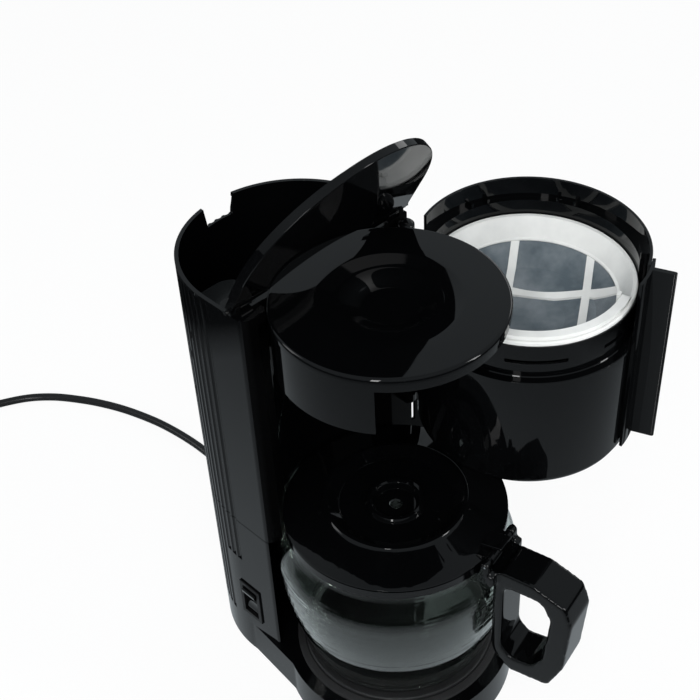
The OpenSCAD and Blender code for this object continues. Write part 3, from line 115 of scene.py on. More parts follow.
def coil_point(travel):
    """The cord's middle after so many degrees of winding."""
    swing = OUTER_TURN - INNER_TURN
    r = OUTER_TURN - swing * ease((travel - GOES_IN) / 60) + swing * ease((travel - GOES_OUT) / 70)
    z = LOWER_TURN + (UPPER_TURN - LOWER_TURN) * ease((travel - GOES_UP) / 70)
    a = math.radians(COIL_START - travel)
    return (COIL_AT[0] + r * math.cos(a), COIL_AT[1] + r * math.sin(a), z)


coil_turn = (LAST_TRAVEL - FIRST_TRAVEL) / COIL_STEPS
coil_way = [coil_point(FIRST_TRAVEL + coil_turn * i) for i in range(COIL_STEPS + 1)]
cord_way = [Vector(p) * MM for p in TABLE_WAY + coil_way + PLUG_WAY]
print("points in the coil:", len(coil_way))

# %% One smooth line through all the points


def smooth_way(points, step):
    """Points on one smooth curve through the given ones, about step apart."""
    out = []
    for i in range(len(points) - 1):
        p0, p1 = points[max(i - 1, 0)], points[i]
        p2, p3 = points[i + 1], points[min(i + 2, len(points) - 1)]
        n = max(1, round((p2 - p1).length / step))
        for k in range(n):
            t = k / n
            out.append(0.5 * (2 * p1 + (p2 - p0) * t + (2 * p0 - 5 * p1 + 4 * p2 - p3) * t * t
                              + (3 * p1 - p0 - 3 * p2 + p3) * t ** 3))
    out.append(points[-1].copy())
    return out


fine_way = smooth_way(cord_way, 0.003)

# %% The cord as a curve
cord_curve = bpy.data.curves.new("mains_cord", "CURVE")
cord_curve.dimensions = "3D"
cord_curve.bevel_depth = CORD_D / 2 * MM
cord_curve.bevel_resolution = 6
cord_curve.use_fill_caps = True
spline = cord_curve.splines.new("POLY")
spline.points.add(len(fine_way) - 1)
for point, at in zip(spline.points, fine_way):
    point.co = (*at, 1)
spline.use_smooth = True
mains_cord = bpy.data.objects.new("mains_cord", cord_curve)
scene.collection.objects.link(mains_cord)
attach(mains_cord, "housing")
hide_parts("power_cord", "cord_coil", "plug_lead")
print("cord rides on the housing")

# %% [markdown]
# ## Light and ground
#
# Black gloss plastic has almost no colour of its own: what the eye reads as its
# shape is the room mirrored in it. So the room matters more than the lamps.
#
# The eye and a mirror want two different rooms. The camera sees a white ground and
# a white backdrop. The plastic mirrors a grey table top, which ends in the dark a
# short way from the machine, and grey walls that are palest halfway up. The Light
# Path node tells the two kinds of ray apart.

# %% Ground
ground_mesh = bpy.data.meshes.new("ground")
ground_mesh.from_pydata([(-9, -9, 0), (9, -9, 0), (9, 9, 0), (-9, 9, 0)], [], [(0, 1, 2, 3)])
ground = bpy.data.objects.new("ground", ground_mesh)
scene.collection.objects.link(ground)
print("ground:", ground.name)

# %% Helpers for node trees


def new_material(name):
    """An empty node material: its tree, and the Principled shader's node."""
    material = bpy.data.materials.new(name)
    material.use_nodes = True
    tree = material.node_tree
    tree.nodes.clear()
    out = tree.nodes.new("ShaderNodeOutputMaterial")
    shader = tree.nodes.new("ShaderNodeBsdfPrincipled")
    tree.links.new(shader.outputs["BSDF"], out.inputs["Surface"])
    return material, tree, shader


def add_node(tree, kind, **settings):
    """A new node with some of its settings."""
    node = tree.nodes.new(kind)
    for key, value in settings.items():
        setattr(node, key, value)
    return node


def math_node(tree, operation, a, b=None):
    """A Math node; a and b are sockets or numbers."""
    node = add_node(tree, "ShaderNodeMath", operation=operation)
    for i, value in enumerate((a, b)):
        if value is None:
            continue
        if isinstance(value, (int, float)):
            node.inputs[i].default_value = value
        else:
            tree.links.new(value, node.inputs[i])
    return node.outputs[0]


def ramp_node(tree, factor, stops):
    """A colour ramp through (place, grey) stops."""
    node = add_node(tree, "ShaderNodeValToRGB")
    ends = node.color_ramp.elements
    while len(ends) < len(stops):
        ends.new(0.5)
    for stop, (where, value) in zip(ends, stops):
        stop.position = where
        stop.color = (value, value * 1.10, value * 1.16, 1)
    tree.links.new(factor, node.inputs["Fac"])
    return node.outputs["Color"]


print("helpers: 4")

# %% The ground's finish
# white to the camera
paper = bpy.data.materials.new("pale_ground")
paper.use_nodes = True
tree = paper.node_tree
tree.nodes.clear()
out = tree.nodes.new("ShaderNodeOutputMaterial")
rays = tree.nodes.new("ShaderNodeLightPath")
coords = tree.nodes.new("ShaderNodeTexCoord")
lit = tree.nodes.new("ShaderNodeBsdfDiffuse")
lit.inputs["Color"].default_value = (0.86, 0.86, 0.86, 1)
white = tree.nodes.new("ShaderNodeEmission")
seen = math_node(tree, "MAXIMUM", rays.outputs["Is Camera Ray"], rays.outputs["Is Transmission Ray"])
plain = add_node(tree, "ShaderNodeMixShader")
tree.links.new(math_node(tree, "MULTIPLY", seen, 0.92), plain.inputs["Fac"])
tree.links.new(lit.outputs[0], plain.inputs[1])
tree.links.new(white.outputs[0], plain.inputs[2])
# in a mirror, a grey table top that ends in the dark
TOP_GREYS = [(0.0, 0.42), (0.20, 0.40), (0.41, 0.27), (0.46, 0.02)]
reach = add_node(tree, "ShaderNodeVectorMath", operation="LENGTH")
tree.links.new(coords.outputs["Object"], reach.inputs[0])
mirrored = add_node(tree, "ShaderNodeEmission")
table_top = ramp_node(tree, reach.outputs["Value"], TOP_GREYS)
tree.links.new(table_top, mirrored.inputs["Color"])
mix = add_node(tree, "ShaderNodeMixShader")
tree.links.new(rays.outputs["Is Glossy Ray"], mix.inputs["Fac"])
tree.links.new(plain.outputs[0], mix.inputs[1])
tree.links.new(mirrored.outputs[0], mix.inputs[2])
tree.links.new(mix.outputs[0], out.inputs["Surface"])
ground_mesh.materials.append(paper)
print("ground's finish:", paper.name)

# %% The room
room = bpy.data.worlds.new("room")
scene.world = room
room.use_nodes = True
tree = room.node_tree
tree.nodes.clear()
out = tree.nodes.new("ShaderNodeOutputWorld")
place = tree.nodes.new("ShaderNodeTexCoord")
split = tree.nodes.new("ShaderNodeSeparateXYZ")
walls = tree.nodes.new("ShaderNodeBackground")
tree.links.new(place.outputs["Generated"], split.inputs[0])
WALL_GREYS = [(0.0, 0.30), (0.30, 0.34), (0.60, 0.42), (0.85, 0.42), (1.0, 0.36)]
ceiling = ramp_node(tree, split.outputs["Z"], WALL_GREYS)
tree.links.new(ceiling, walls.inputs["Color"])
backdrop = tree.nodes.new("ShaderNodeBackground")
backdrop.inputs["Color"].default_value = (1, 1, 1, 1)
rays = tree.nodes.new("ShaderNodeLightPath")
mix = tree.nodes.new("ShaderNodeMixShader")
tree.links.new(rays.outputs["Is Camera Ray"], mix.inputs["Fac"])
tree.links.new(walls.outputs[0], mix.inputs[1])
tree.links.new(backdrop.outputs[0], mix.inputs[2])
tree.links.new(mix.outputs[0], out.inputs["Surface"])
print("room:", room.name)

# %% [markdown]
# ## Lamps
#
# The key lamp is large, high and on the camera's right. It lights the white filter
# and is hidden from mirrors, as it would fog the cap. The others are weak, and are
# there to be mirrored: narrow upright strips draw a thin pale line along rounded
# edges and put a streak on the round walls.

# %% Soft boxes


def soft_box(name, at, aim, size, power, mirrored=True):
    """A rectangular lamp at a point, turned to face another."""
    lamp = bpy.data.lights.new(name, "AREA")
    lamp.shape = "RECTANGLE"
    lamp.size, lamp.size_y = size
    lamp.energy = power
    holder = bpy.data.objects.new(name, lamp)
    holder.location = at
    holder.rotation_euler = (Vector(aim) - Vector(at)).to_track_quat("-Z", "Y").to_euler()
    holder.visible_glossy = mirrored
    scene.collection.objects.link(holder)
    return holder


CENTRE = (-0.02, 0.02, 0.18)
soft_box("key_box", (0.9, -0.9, 1.9), CENTRE, (1.2, 1.2), 26, mirrored=False)
soft_box("front_strip", (0.9, -1.5, 1.05), CENTRE, (0.22, 1.3), 12)
soft_box("left_box", (-1.5, -1.3, 1.0), CENTRE, (0.5, 1.3), 5)
soft_box("right_box", (1.8, 1.0, 1.0), CENTRE, (0.3, 1.3), 12)
soft_box("back_box", (-0.5, 2.2, 1.2), CENTRE, (1.6, 0.5), 6)
print("soft boxes: 5")

# %% [markdown]
# ## Moulded surfaces
#
# Gloss plastic copies the polish of its steel mould, with a faint waviness where
# the plastic shrank, and it always carries a little dust and a few hairlines. One
# node group makes those marks for every plastic on the machine. Its inputs say
# how big and how strong they are, and it puts out only values that vary over the
# surface: a tint, a roughness and a height. The shader stays in each material.

# %% A node group for moulded surfaces


def group_socket(group, name, kind, way, value=None):
    """A new input or output of a node group."""
    socket = group.interface.new_socket(name=name, in_out=way, socket_type=kind)
    if value is not None:
        socket.default_value = value
    return socket


skin = bpy.data.node_groups.new("moulded_skin", "ShaderNodeTree")
group_socket(skin, "Vector", "NodeSocketVector", "INPUT")
group_socket(skin, "Tint", "NodeSocketColor", "INPUT", (0.02, 0.02, 0.02, 1))
group_socket(skin, "Roughness", "NodeSocketFloat", "INPUT", 0.1)
group_socket(skin, "Waviness", "NodeSocketFloat", "INPUT", 0.3)
group_socket(skin, "Grain", "NodeSocketFloat", "INPUT", 0.0)
group_socket(skin, "Grain Size", "NodeSocketFloat", "INPUT", 1500.0)
group_socket(skin, "Hairlines", "NodeSocketFloat", "INPUT", 0.2)
group_socket(skin, "Color", "NodeSocketColor", "OUTPUT")
group_socket(skin, "Roughness", "NodeSocketFloat", "OUTPUT")
group_socket(skin, "Height", "NodeSocketFloat", "OUTPUT")
entry = skin.nodes.new("NodeGroupInput")
leave = skin.nodes.new("NodeGroupOutput")
print("group:", skin.name, len(entry.outputs) - 1, "inputs")

# %% Noises inside the group


def noise(tree, vector, scale, detail=2.0, rough=0.5):
    """A Noise Texture; its scale is a socket or a number."""
    node = add_node(tree, "ShaderNodeTexNoise")
    node.inputs["Detail"].default_value = detail
    node.inputs["Roughness"].default_value = rough
    tree.links.new(vector, node.inputs["Vector"])
    if isinstance(scale, (int, float)):
        node.inputs["Scale"].default_value = scale
    else:
        tree.links.new(scale, node.inputs["Scale"])
    return node.outputs["Fac"]


where = entry.outputs["Vector"]
wave = noise(skin, where, 28.0, 1.0)
grain = noise(skin, where, entry.outputs["Grain Size"], 1.0)
smudge = noise(skin, where, 45.0, 3.0, 0.6)
stretch = add_node(skin, "ShaderNodeMapping")
stretch.inputs["Scale"].default_value = (1.0, 14.0, 1.0)
stretch.inputs["Rotation"].default_value = (0.3, 0.2, 0.9)
skin.links.new(where, stretch.inputs["Vector"])
lines = noise(skin, stretch.outputs[0], 160.0, 2.0, 0.6)
print("noises: 4")

# %% Height, roughness and tint
line_mask = math_node(skin, "GREATER_THAN", lines, 0.70)
line_amount = math_node(skin, "MULTIPLY", line_mask, entry.outputs["Hairlines"])
wave_h = math_node(skin, "MULTIPLY", wave, entry.outputs["Waviness"])
grain_h = math_node(skin, "MULTIPLY", grain, entry.outputs["Grain"])
height = math_node(skin, "ADD", wave_h, grain_h)
skin.links.new(height, leave.inputs["Height"])
haze = math_node(skin, "MULTIPLY", math_node(skin, "SUBTRACT", smudge, 0.45), 0.10)
rough = math_node(skin, "ADD", entry.outputs["Roughness"], math_node(skin, "MAXIMUM", haze, 0.0))
rough = math_node(skin, "ADD", rough, math_node(skin, "MULTIPLY", line_amount, 0.12))
skin.links.new(rough, leave.inputs["Roughness"])
tint = add_node(skin, "ShaderNodeMix", data_type="RGBA", blend_type="MULTIPLY")
tint.inputs["Factor"].default_value = 1.0
skin.links.new(entry.outputs["Tint"], tint.inputs["A"])
shade = add_node(skin, "ShaderNodeMapRange")
shade.inputs["To Min"].default_value = 0.82
shade.inputs["To Max"].default_value = 1.18
skin.links.new(smudge, shade.inputs["Value"])
grey = add_node(skin, "ShaderNodeCombineColor")
for channel in ("Red", "Green", "Blue"):
    skin.links.new(shade.outputs["Result"], grey.inputs[channel])
skin.links.new(grey.outputs["Color"], tint.inputs["B"])
skin.links.new(tint.outputs["Result"], leave.inputs["Color"])
print("group:", skin.name, len(skin.nodes), "nodes")

# %% A maker of moulded materials


def moulded(name, colour, roughness, waviness=0.3, grain=0.0, grain_size=1500.0, hairlines=0.3,
            bump=0.02, distance=0.001, metallic=0.0, ior=1.36):
    """A material whose small marks come from the moulded_skin group."""
    material, tree, shader = new_material(name)
    coords = add_node(tree, "ShaderNodeTexCoord")
    marks = add_node(tree, "ShaderNodeGroup", node_tree=skin)
    marks.inputs["Tint"].default_value = (*colour, 1)
    marks.inputs["Roughness"].default_value = roughness
    marks.inputs["Waviness"].default_value = waviness
    marks.inputs["Grain"].default_value = grain
    marks.inputs["Grain Size"].default_value = grain_size
    marks.inputs["Hairlines"].default_value = hairlines
    relief = add_node(tree, "ShaderNodeBump")
    relief.inputs["Strength"].default_value = bump
    relief.inputs["Distance"].default_value = distance
    tree.links.new(coords.outputs["Object"], marks.inputs["Vector"])
    tree.links.new(marks.outputs["Color"], shader.inputs["Base Color"])
    tree.links.new(marks.outputs["Roughness"], shader.inputs["Roughness"])
    tree.links.new(marks.outputs["Height"], relief.inputs["Height"])
    tree.links.new(relief.outputs["Normal"], shader.inputs["Normal"])
    shader.inputs["Metallic"].default_value = metallic
    shader.inputs["IOR"].default_value = ior
    return material


print("maker of materials:", moulded.__name__)

# %% Black finishes
gloss_black = moulded("gloss_black_plastic", (0.0012, 0.0013, 0.0015), 0.03, waviness=0.4, bump=0.03)
inner_black = moulded("inner_black_plastic", (0.0022, 0.0022, 0.0024), 0.42, grain=0.8, bump=0.15)
dark_rubber = moulded("dark_rubber", (0.014, 0.014, 0.0145), 0.55, grain=1.0, grain_size=900.0, bump=0.2)
shelf_black = moulded("shelf_black_plastic", (0.0085, 0.0095, 0.0100), 0.22, grain=0.3, bump=0.05)
# painted shade: a black with a low IOR that mirrors next to nothing, for faces that stand in shade
painted_shade_black = moulded("painted_shade_black_plastic", (0.0009, 0.0009, 0.0010), 0.50, grain=0.6, bump=0.1, ior=1.12)
cord_black = moulded("cord_black", (0.0075, 0.0075, 0.0080), 0.28, grain=0.5, grain_size=700.0, bump=0.15)
plate_black = moulded("coated_plate_black", (0.0110, 0.0110, 0.0115), 0.34, grain=1.0, grain_size=2200.0,
                      bump=0.25)
print("black finishes: 7")

# %% [markdown]
# ## The filter's cloth
#
# The filter is a fine nylon cloth welded to white ribs. From a step away its
# threads are too small to see: what shows is a blue-grey sheet, slightly puckered
# between the ribs, with painted shade and painted light of the puckers in soft clouds.

# %% Filter cloth
cloth, tree, shader = new_material("nylon_mesh_cloth")
coords = add_node(tree, "ShaderNodeTexCoord")
# painted shade and painted light of the puckers: noise clouds blend a darker and a paler blue-grey
fold_shade_clouds = noise(tree, coords.outputs["Object"], 34.0, 4.0, 0.62)
shade = add_node(tree, "ShaderNodeMix", data_type="RGBA")
shade.inputs["A"].default_value = (0.080, 0.104, 0.122, 1)
shade.inputs["B"].default_value = (0.200, 0.226, 0.246, 1)
painted_fold_shade = add_node(tree, "ShaderNodeMapRange")
painted_fold_shade.inputs["From Min"].default_value = 0.36
painted_fold_shade.inputs["From Max"].default_value = 0.66
tree.links.new(fold_shade_clouds, painted_fold_shade.inputs["Value"])
tree.links.new(painted_fold_shade.outputs["Result"], shade.inputs["Factor"])
threads = add_node(tree, "ShaderNodeTexBrick")
threads.inputs["Scale"].default_value = 1800.0
threads.inputs["Color1"].default_value = (1, 1, 1, 1)
threads.inputs["Color2"].default_value = (1, 1, 1, 1)
threads.inputs["Mortar"].default_value = (0.72, 0.72, 0.72, 1)
threads.inputs["Mortar Size"].default_value = 0.03
tree.links.new(coords.outputs["Object"], threads.inputs["Vector"])
woven = add_node(tree, "ShaderNodeMix", data_type="RGBA", blend_type="MULTIPLY")
woven.inputs["Factor"].default_value = 1.0
tree.links.new(shade.outputs["Result"], woven.inputs["A"])
tree.links.new(threads.outputs["Color"], woven.inputs["B"])
tree.links.new(woven.outputs["Result"], shader.inputs["Base Color"])
shader.inputs["Roughness"].default_value = 0.62
relief = add_node(tree, "ShaderNodeBump")
relief.inputs["Strength"].default_value = 0.35
relief.inputs["Distance"].default_value = 0.0012
tree.links.new(noise(tree, coords.outputs["Object"], 60.0, 3.0, 0.6), relief.inputs["Height"])
tree.links.new(relief.outputs["Normal"], shader.inputs["Normal"])
print("cloth:", cloth.name)

# %% Pale plastics, metals and rubber
filter_white = moulded("filter_white_plastic", (0.75, 0.75, 0.73), 0.38, grain=0.4, bump=0.08, hairlines=0.1)
cloudy_white = moulded("cloudy_white_plastic", (0.74, 0.74, 0.72), 0.40, grain=0.4, bump=0.08)
hose_pale = moulded("hose_pale", (0.72, 0.70, 0.66), 0.34, grain=0.3, bump=0.1)
ceramic = moulded("ceramic_cream", (0.80, 0.77, 0.69), 0.30, grain=0.6, bump=0.15)
fuse_sleeve = moulded("fuse_sleeve", (0.52, 0.40, 0.11), 0.55, grain=1.0, grain_size=900.0, bump=0.2)
seal_red = moulded("seal_red_rubber", (0.33, 0.07, 0.045), 0.5, grain=0.6, bump=0.15)
cast_metal = moulded("cast_aluminium", (0.60, 0.61, 0.63), 0.46, grain=1.0, grain_size=700.0, bump=0.35,
                     metallic=1.0)
bare_steel = moulded("bare_steel", (0.56, 0.57, 0.59), 0.26, grain=0.4, bump=0.08, hairlines=0.8,
                     metallic=1.0)
plated_brass = moulded("plated_brass", (0.66, 0.65, 0.62), 0.16, grain=0.2, bump=0.05, hairlines=0.8,
                       metallic=1.0)
print("pale finishes and metals: 9")

# %% [markdown]
# ## Glass
#
# Jug glass is clear with a breath of green that shows only where the eye looks
# along the wall, at the rim and the sides.

# %% Jug glass
jug_clear, tree, shader = new_material("jug_glass_clear")
shader.inputs["Base Color"].default_value = (0.92, 0.98, 0.935, 1)
shader.inputs["Transmission Weight"].default_value = 1.0
shader.inputs["Roughness"].default_value = 0.0
shader.inputs["IOR"].default_value = 1.5
print("glass:", jug_clear.name)

# %% [markdown]
# ## From hard solids to moulded pieces
#
# The solids have razor edges, which nothing moulded has. A real edge is rounded by
# a few tenths of a millimetre and catches a thin line of light. So each piece is a
# copy of its solid with the doubled points merged and the flat triangles joined,
# and then a bevel on every edge sharper than thirty degrees. The Weighted Normal
# modifier lets the large faces rule the shading, so a mirrored line runs on over
# the facets of a round wall without a zigzag.

# %% Clean copies of the solids


def clean_copy(node):
    """A bmesh of a solid with its doubled points merged and its flat triangles joined."""
    work = bmesh.new()
    work.from_mesh(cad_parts[node].data)
    bmesh.ops.remove_doubles(work, verts=work.verts, dist=DOUBLE)
    bmesh.ops.dissolve_limit(work, angle_limit=math.radians(0.4), verts=work.verts, edges=work.edges)
    return work


def plain_mesh(piece):
    """A new mesh of the piece with its modifiers worked out."""
    bpy.context.view_layer.update()
    return bpy.data.meshes.new_from_object(piece.evaluated_get(bpy.context.evaluated_depsgraph_get()))


def finish_piece(piece):
    """Turns the piece with its modifiers into a plain mesh."""
    done = plain_mesh(piece)
    done.name = piece.name
    piece.modifiers.clear()
    piece.data = done
    return piece


def piece_from(work, name, material):
    """A smooth shaded object in the scene made from a bmesh."""
    for face in work.faces:
        face.material_index = 0
        face.smooth = True
    mesh = bpy.data.meshes.new(name)
    work.to_mesh(mesh)
    work.free()
    mesh.materials.append(material)
    piece = bpy.data.objects.new(name, mesh)
    scene.collection.objects.link(piece)
    return piece


DOUBLE = 2e-6
print("points closer than", DOUBLE / MM, "mm are one")

# %% Rounded edges


def round_edges(piece, edge, segments=2, angle=32):
    """Rounds every sharp edge and lets the large faces rule the shading."""
    bevel = piece.modifiers.new("edges", "BEVEL")
    bevel.width = edge * MM
    bevel.segments = segments
    bevel.limit_method = "ANGLE"
    bevel.angle_limit = math.radians(angle)
    bevel.use_clamp_overlap = True
    bevel.miter_outer = "MITER_ARC"
    even = piece.modifiers.new("even", "WEIGHTED_NORMAL")
    even.mode = "FACE_AREA"
    even.weight = 60
    finish_piece(piece)


def rounded(node, name, body, material, edge):
    """A copy of a solid with rounded edges, riding on its body in its place."""
    piece = piece_from(clean_copy(node), name, material)
    round_edges(piece, edge)
    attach(piece, body)
    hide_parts(node)
    return piece


def refinish(piece, material, wanted):
    """Gives the faces whose centre (mm) and normal are wanted a second finish."""
    piece.data.materials.append(material)
    slot = len(piece.data.materials) - 1
    count = 0
    for face in piece.data.polygons:
        if wanted(face.center / MM, face.normal):
            face.material_index = slot
            count += 1
    return count


# %% [markdown]
# ## The tank
#
# The tank is one moulding. Inside it, the ledge over the duct is less polished
# than the walls and looks paler from above. The front face stands in the shade
# between the head and the jug, and that shade is painted on: a black that mirrors next to nothing.

# %% The tank
LEDGE_Z = (262, 272)
FRONT_X = (-60, -40)
tank = rounded("tank_body", "tank_shell", "housing", gloss_black, edge=0.45)
ledge = refinish(tank, shelf_black, lambda at, up: up.z > 0.9 and LEDGE_Z[0] < at.z < LEDGE_Z[1])
# painted shade: the front faces get a black that mirrors next to nothing
front = refinish(tank, painted_shade_black, lambda at, up: up.x > 0.55 and FRONT_X[0] < at.x < FRONT_X[1])
print("tank:", len(tank.data.polygons), "faces,", ledge, "on the ledge,", front, "in the shade")

# %% [markdown]
# ## Turned pieces
#
# A turned piece has one rule: an outline goes once round the upright axis. Spin
# would do it in one call. Here a Geometry Nodes tree does it, because the number of
# steps and the finish stay open to change: the outline becomes a curve, Curve to
# Mesh carries it round a circle, and Merge by Distance closes the poles. The
# outline is moved in by the circle's radius first, so that its zero ends up on the
# axis.

# %% A tree that turns an outline
turning = bpy.data.node_groups.new("turned_on_axis", "GeometryNodeTree")
group_socket(turning, "Outline", "NodeSocketGeometry", "INPUT")
group_socket(turning, "Steps", "NodeSocketInt", "INPUT", 160)
group_socket(turning, "Path Radius", "NodeSocketFloat", "INPUT", 0.1)
group_socket(turning, "Finish", "NodeSocketMaterial", "INPUT")
group_socket(turning, "Turned", "NodeSocketGeometry", "OUTPUT")
entry = turning.nodes.new("NodeGroupInput")
leave = turning.nodes.new("NodeGroupOutput")
shift = add_node(turning, "ShaderNodeCombineXYZ")
turning.links.new(math_node(turning, "MULTIPLY", entry.outputs["Path Radius"], -1.0), shift.inputs["X"])
move_in = add_node(turning, "GeometryNodeTransform")
turning.links.new(entry.outputs["Outline"], move_in.inputs["Geometry"])
turning.links.new(shift.outputs["Vector"], move_in.inputs["Translation"])
lay_flat = add_node(turning, "GeometryNodeTransform")
lay_flat.inputs["Rotation"].default_value = (math.pi / 2, 0, 0)
turning.links.new(move_in.outputs[0], lay_flat.inputs["Geometry"])
profile = add_node(turning, "GeometryNodeMeshToCurve")
turning.links.new(lay_flat.outputs[0], profile.inputs["Mesh"])
path = add_node(turning, "GeometryNodeCurvePrimitiveCircle")
turning.links.new(entry.outputs["Steps"], path.inputs["Resolution"])
turning.links.new(entry.outputs["Path Radius"], path.inputs["Radius"])
sweep = add_node(turning, "GeometryNodeCurveToMesh")
turning.links.new(path.outputs["Curve"], sweep.inputs["Curve"])
turning.links.new(profile.outputs["Curve"], sweep.inputs["Profile Curve"])
poles = add_node(turning, "GeometryNodeMergeByDistance")
poles.inputs["Distance"].default_value = DOUBLE
turning.links.new(sweep.outputs["Mesh"], poles.inputs["Geometry"])
real = add_node(turning, "GeometryNodeRealizeInstances")
turning.links.new(poles.outputs["Geometry"], real.inputs["Geometry"])
coat = add_node(turning, "GeometryNodeSetMaterial")
turning.links.new(real.outputs["Geometry"], coat.inputs["Geometry"])
turning.links.new(entry.outputs["Finish"], coat.inputs["Material"])
turning.links.new(coat.outputs["Geometry"], leave.inputs["Turned"])
print("tree:", turning.name, len(turning.nodes), "nodes")

# %% Turned shapes and cutters


def turned(outline, material, steps=160):
    """A bmesh of a (radius, height) outline in mm that starts and ends on the axis."""
    mesh = bpy.data.meshes.new("outline")
    links = [(i, i + 1) for i in range(len(outline) - 1)]
    mesh.from_pydata([(r * MM, 0, z * MM) for r, z in outline], links, [])
    blank = bpy.data.objects.new("outline", mesh)
    scene.collection.objects.link(blank)
    lathe = blank.modifiers.new("lathe", "NODES")
    lathe.node_group = turning
    sockets = {item.name: item.identifier for item in turning.interface.items_tree}
    lathe[sockets["Steps"]] = steps
    lathe[sockets["Finish"]] = material
    work = bmesh.new()
    work.from_mesh(plain_mesh(blank))
    bpy.data.objects.remove(blank)
    bmesh.ops.recalc_face_normals(work, faces=work.faces)
    return work


def box_shape(low, high):
    """A bmesh of a box between two corners in mm."""
    work = bmesh.new()
    size = [(b - a) * MM for a, b in zip(low, high)]
    middle = [(a + b) / 2 * MM for a, b in zip(low, high)]
    bmesh.ops.create_cube(work, size=1.0, matrix=Matrix.Translation(middle) @ Matrix.Diagonal((*size, 1)))
    return work


def cut(piece, work):
    """Takes the space of a bmesh out of the piece."""
    mesh = bpy.data.meshes.new("cutter")
    work.to_mesh(mesh)
    work.free()
    cutter = bpy.data.objects.new("cutter", mesh)
    scene.collection.objects.link(cutter)
    knife = piece.modifiers.new("cut", "BOOLEAN")
    knife.operation = "DIFFERENCE"
    knife.solver = "EXACT"
    knife.object = cutter
    finish_piece(piece)
    bpy.data.objects.remove(cutter)


# %% [markdown]
# ## The cap and the lid
#
# Seen from above the brew head is one full disc: its cap reaches back over the
# tank's front wall, and the lid's front edge is hollowed to go round it. The cap is
# turned, with a soft dish: a gentle outer slope, which mirrors the wall as a pale
# crescent, and a steeper inner one, which mirrors the open lid and stays black.
# The lid is a copy of its solid, cut by the cap's circle in the closed position,
# with a broad fillet round its top.

# %% The cap's outline
CAP_R, CAP_TOP = 66.0, 313.0
RIM_ROUND, RIM_DROP = 2.0, 0.5
CROWN_R, CROWN_DROP = 50, 0.15
DISH_R, DISH_DEPTH = 41.0, 6.0
FLOOR_R, FLOOR_EDGE = 10.0, 15.0
SLOPE_R, SLOPE_DROP = 30.0, 1.5
CAP_UNDERSIDE = [(66, 308), (64, 308), (64, 310.2), (41, 311), (23.5, 305), (0, 305)]
dish_floor = CAP_TOP - DISH_DEPTH
cap_line = [(0, dish_floor), (FLOOR_R, dish_floor)]
for i in range(17):
    t = i / 16
    rise = (DISH_DEPTH - SLOPE_DROP) * ease(t ** 0.8)
    cap_line.append((FLOOR_EDGE + (SLOPE_R - FLOOR_EDGE) * t, dish_floor + rise))
for i in range(1, 7):
    t = i / 6
    cap_line.append((SLOPE_R + (DISH_R - SLOPE_R) * t, CAP_TOP - SLOPE_DROP * (1 - t)))
cap_line.append((CROWN_R, CAP_TOP - CROWN_DROP))
rim_r, rim_z = CAP_R - RIM_ROUND, CAP_TOP - RIM_DROP - RIM_ROUND
for i in range(7):
    a = math.radians(90 - 15 * i)
    cap_line.append((rim_r + RIM_ROUND * math.cos(a), rim_z + RIM_ROUND * math.sin(a)))
cap_line += CAP_UNDERSIDE
print("cap's outline:", len(cap_line), "points")

# %% The cap
TANK_SIDE, TANK_RIM = -50.9, 310.4
cap = piece_from(turned(cap_line, gloss_black), "cap", gloss_black)
cut(cap, box_shape((-90, -90, 290), (TANK_SIDE, 90, TANK_RIM)))
round_edges(cap, 0.3)
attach(cap, "housing")
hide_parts("head_cap")
print("cap:", len(cap.data.polygons), "faces")

# %% The lid's blank and its fillet
LID_HINGE = Vector((-53.8, 0, 313.2)) * MM
LID_OPEN = math.radians(119)
LID_CLEAR = 68.0
LID_FILLET = 1.9
FILLET_ABOVE, FILLET_BEHIND = 314.7, -60.0
opening = Matrix.Translation(LID_HINGE) @ Matrix.Rotation(LID_OPEN, 4, "Y") @ Matrix.Translation(-LID_HINGE)
closing = opening.inverted()
work = clean_copy("tank_lid")
weight = work.edges.layers.float.new("bevel_weight_edge")
for edge in work.edges:
    ends = [closing @ v.co / MM for v in edge.verts]
    if all(e.z > FILLET_ABOVE and e.x < FILLET_BEHIND for e in ends):
        edge[weight] = 1.0
lid = piece_from(work, "lid", gloss_black)
fillet = lid.modifiers.new("fillet", "BEVEL")
fillet.width = LID_FILLET * MM
fillet.segments = 5
fillet.limit_method = "WEIGHT"
finish_piece(lid)
print("lid with its fillet:", len(lid.data.polygons), "faces")

# %% The lid's hollow
cap_room = turned([(0, 300), (LID_CLEAR, 300), (LID_CLEAR, 330), (0, 330)], gloss_black)
cap_room.transform(opening)
cut(lid, cap_room)
round_edges(lid, 0.45)
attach(lid, "tank_lid")
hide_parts("tank_lid")
print("lid:", len(lid.data.polygons), "faces")

# %% [markdown]
# ## The jug's handle
#
# The handle is a grip for a hand, with no hard edge left on it. A bevel would keep
# the flat faces between its rounds. So its solid is turned into a fine even grid
# and smoothed until it melts.

# %% The jug's handle
handle = piece_from(clean_copy("jug_handle"), "handle", gloss_black)
grid = handle.modifiers.new("grid", "REMESH")
grid.mode = "VOXEL"
grid.voxel_size = 0.9 * MM
grid.use_smooth_shade = True
melt = handle.modifiers.new("melt", "SMOOTH")
melt.factor = 0.5
melt.iterations = 14
finish_piece(handle)
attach(handle, "jug")
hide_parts("jug_handle")
print("handle:", len(handle.data.polygons), "faces")

# %% [markdown]
# ## The rest of the casing
#
# Each row names a solid, its piece, its body, its finish and how far its edges are
# rounded, in mm. A row per piece is the shortest way to say what differs between
# them, as they are all made alike.

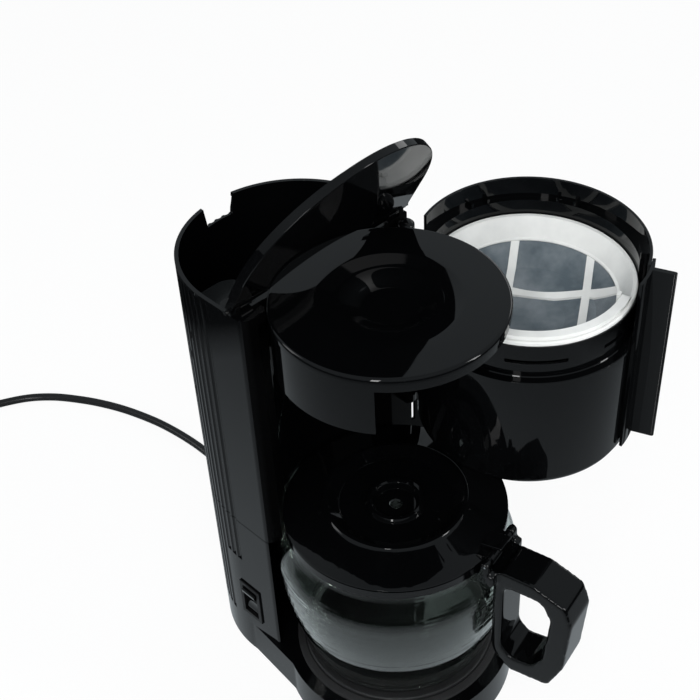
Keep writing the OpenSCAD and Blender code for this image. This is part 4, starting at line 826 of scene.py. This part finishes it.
# %% The rest of the casing
casing = [
    ("base_housing", "base_shell", "housing", gloss_black, 0.45),
    ("head_housing", "head_ring", "housing", gloss_black, 0.35),
    ("filter_holder", "holder", "filter_holder", gloss_black, 0.4),
    ("holder_grip", "grip_plate", "filter_holder", gloss_black, 0.5),
    ("jug_lid", "jug_cover", "jug_lid", gloss_black, 0.4),
    ("lid_lever", "thumb_lever", "jug_lid", gloss_black, 0.4),
    ("jug_band", "neck_band", "jug", gloss_black, 0.3),
    ("hot_plate", "warming_plate", "housing", plate_black, 0.4),
    ("plate_seal", "plate_ring", "housing", dark_rubber, 0.3),
    ("feet", "rubber_feet", "housing", dark_rubber, 0.4),
    ("switch_rocker", "rocker", "rocker", gloss_black, 0.4),
    ("switch_bezel", "rocker_frame", "housing", inner_black, 0.3),
    ("swing_pin", "swing_pin_dark", "housing", gloss_black, 0.4),
    ("filter_frame", "filter_basket", "filter", filter_white, 0.4),
    ("filter_handle", "filter_bail", "filter_handle", filter_white, 0.5),
]


for node, name, body, material, edge in casing:
    piece = rounded(node, name, body, material, edge)
    print(name, len(piece.data.polygons), "faces")

# %% [markdown]
# ## The cheek beside the hinge
#
# A thin plate closes most of the gap between the tower and the swung-out holder.
# It is slotted, so that a line of the white room shows through.

# %% The slotted cheek
CHEEK_LOW, CHEEK_HIGH = (-53.2, 60.0, 123.0), (-51.2, 79.5, 177.0)
SLIT_LOW, SLIT_HIGH = (-60.0, 68.2, 140.5), (-40.0, 71.4, 165.0)
# its finish is painted shade: a black that mirrors next to nothing
cheek = piece_from(box_shape(CHEEK_LOW, CHEEK_HIGH), "hinge_cheek", painted_shade_black)
cut(cheek, box_shape(SLIT_LOW, SLIT_HIGH))
round_edges(cheek, 0.25)
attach(cheek, "housing")
print("cheek:", len(cheek.data.polygons), "faces")

# %% [markdown]
# ## Small solids
#
# Springs, screws, hoses and the parts inside keep their own mesh, and only get a
# finish.

# %% Finishes for the small solids
small = {
    inner_black: ["lid_pins", "base_cover", "switch_body", "spray_arm", "spray_head", "drip_cage",
                  "cord_tie"],
    bare_steel: ["base_screws", "heater_bracket", "hose_clamps", "drip_spring", "handle_screw",
                 "jug_hinge_pin"],
    cast_metal: ["heater"],
    ceramic: ["thermostat", "terminal_block"],
    fuse_sleeve: ["thermal_fuse"],
    cloudy_white: ["tank_strainer", "check_valve", "drip_plunger"],
    hose_pale: ["tank_hose", "inlet_hose", "riser_hose"],
    seal_red: ["drip_seal"],
    cord_black: ["strain_relief", "plug_body"],
    plated_brass: ["plug_pins"],
    jug_clear: ["jug_glass"],
    cloth: ["filter_mesh"],
}
for material, nodes in small.items():
    for node in nodes:
        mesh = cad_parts[node].data
        mesh.materials.clear()
        mesh.materials.append(material)
cord_curve.materials.append(cord_black)
print("small solids:", sum(len(v) for v in small.values()))
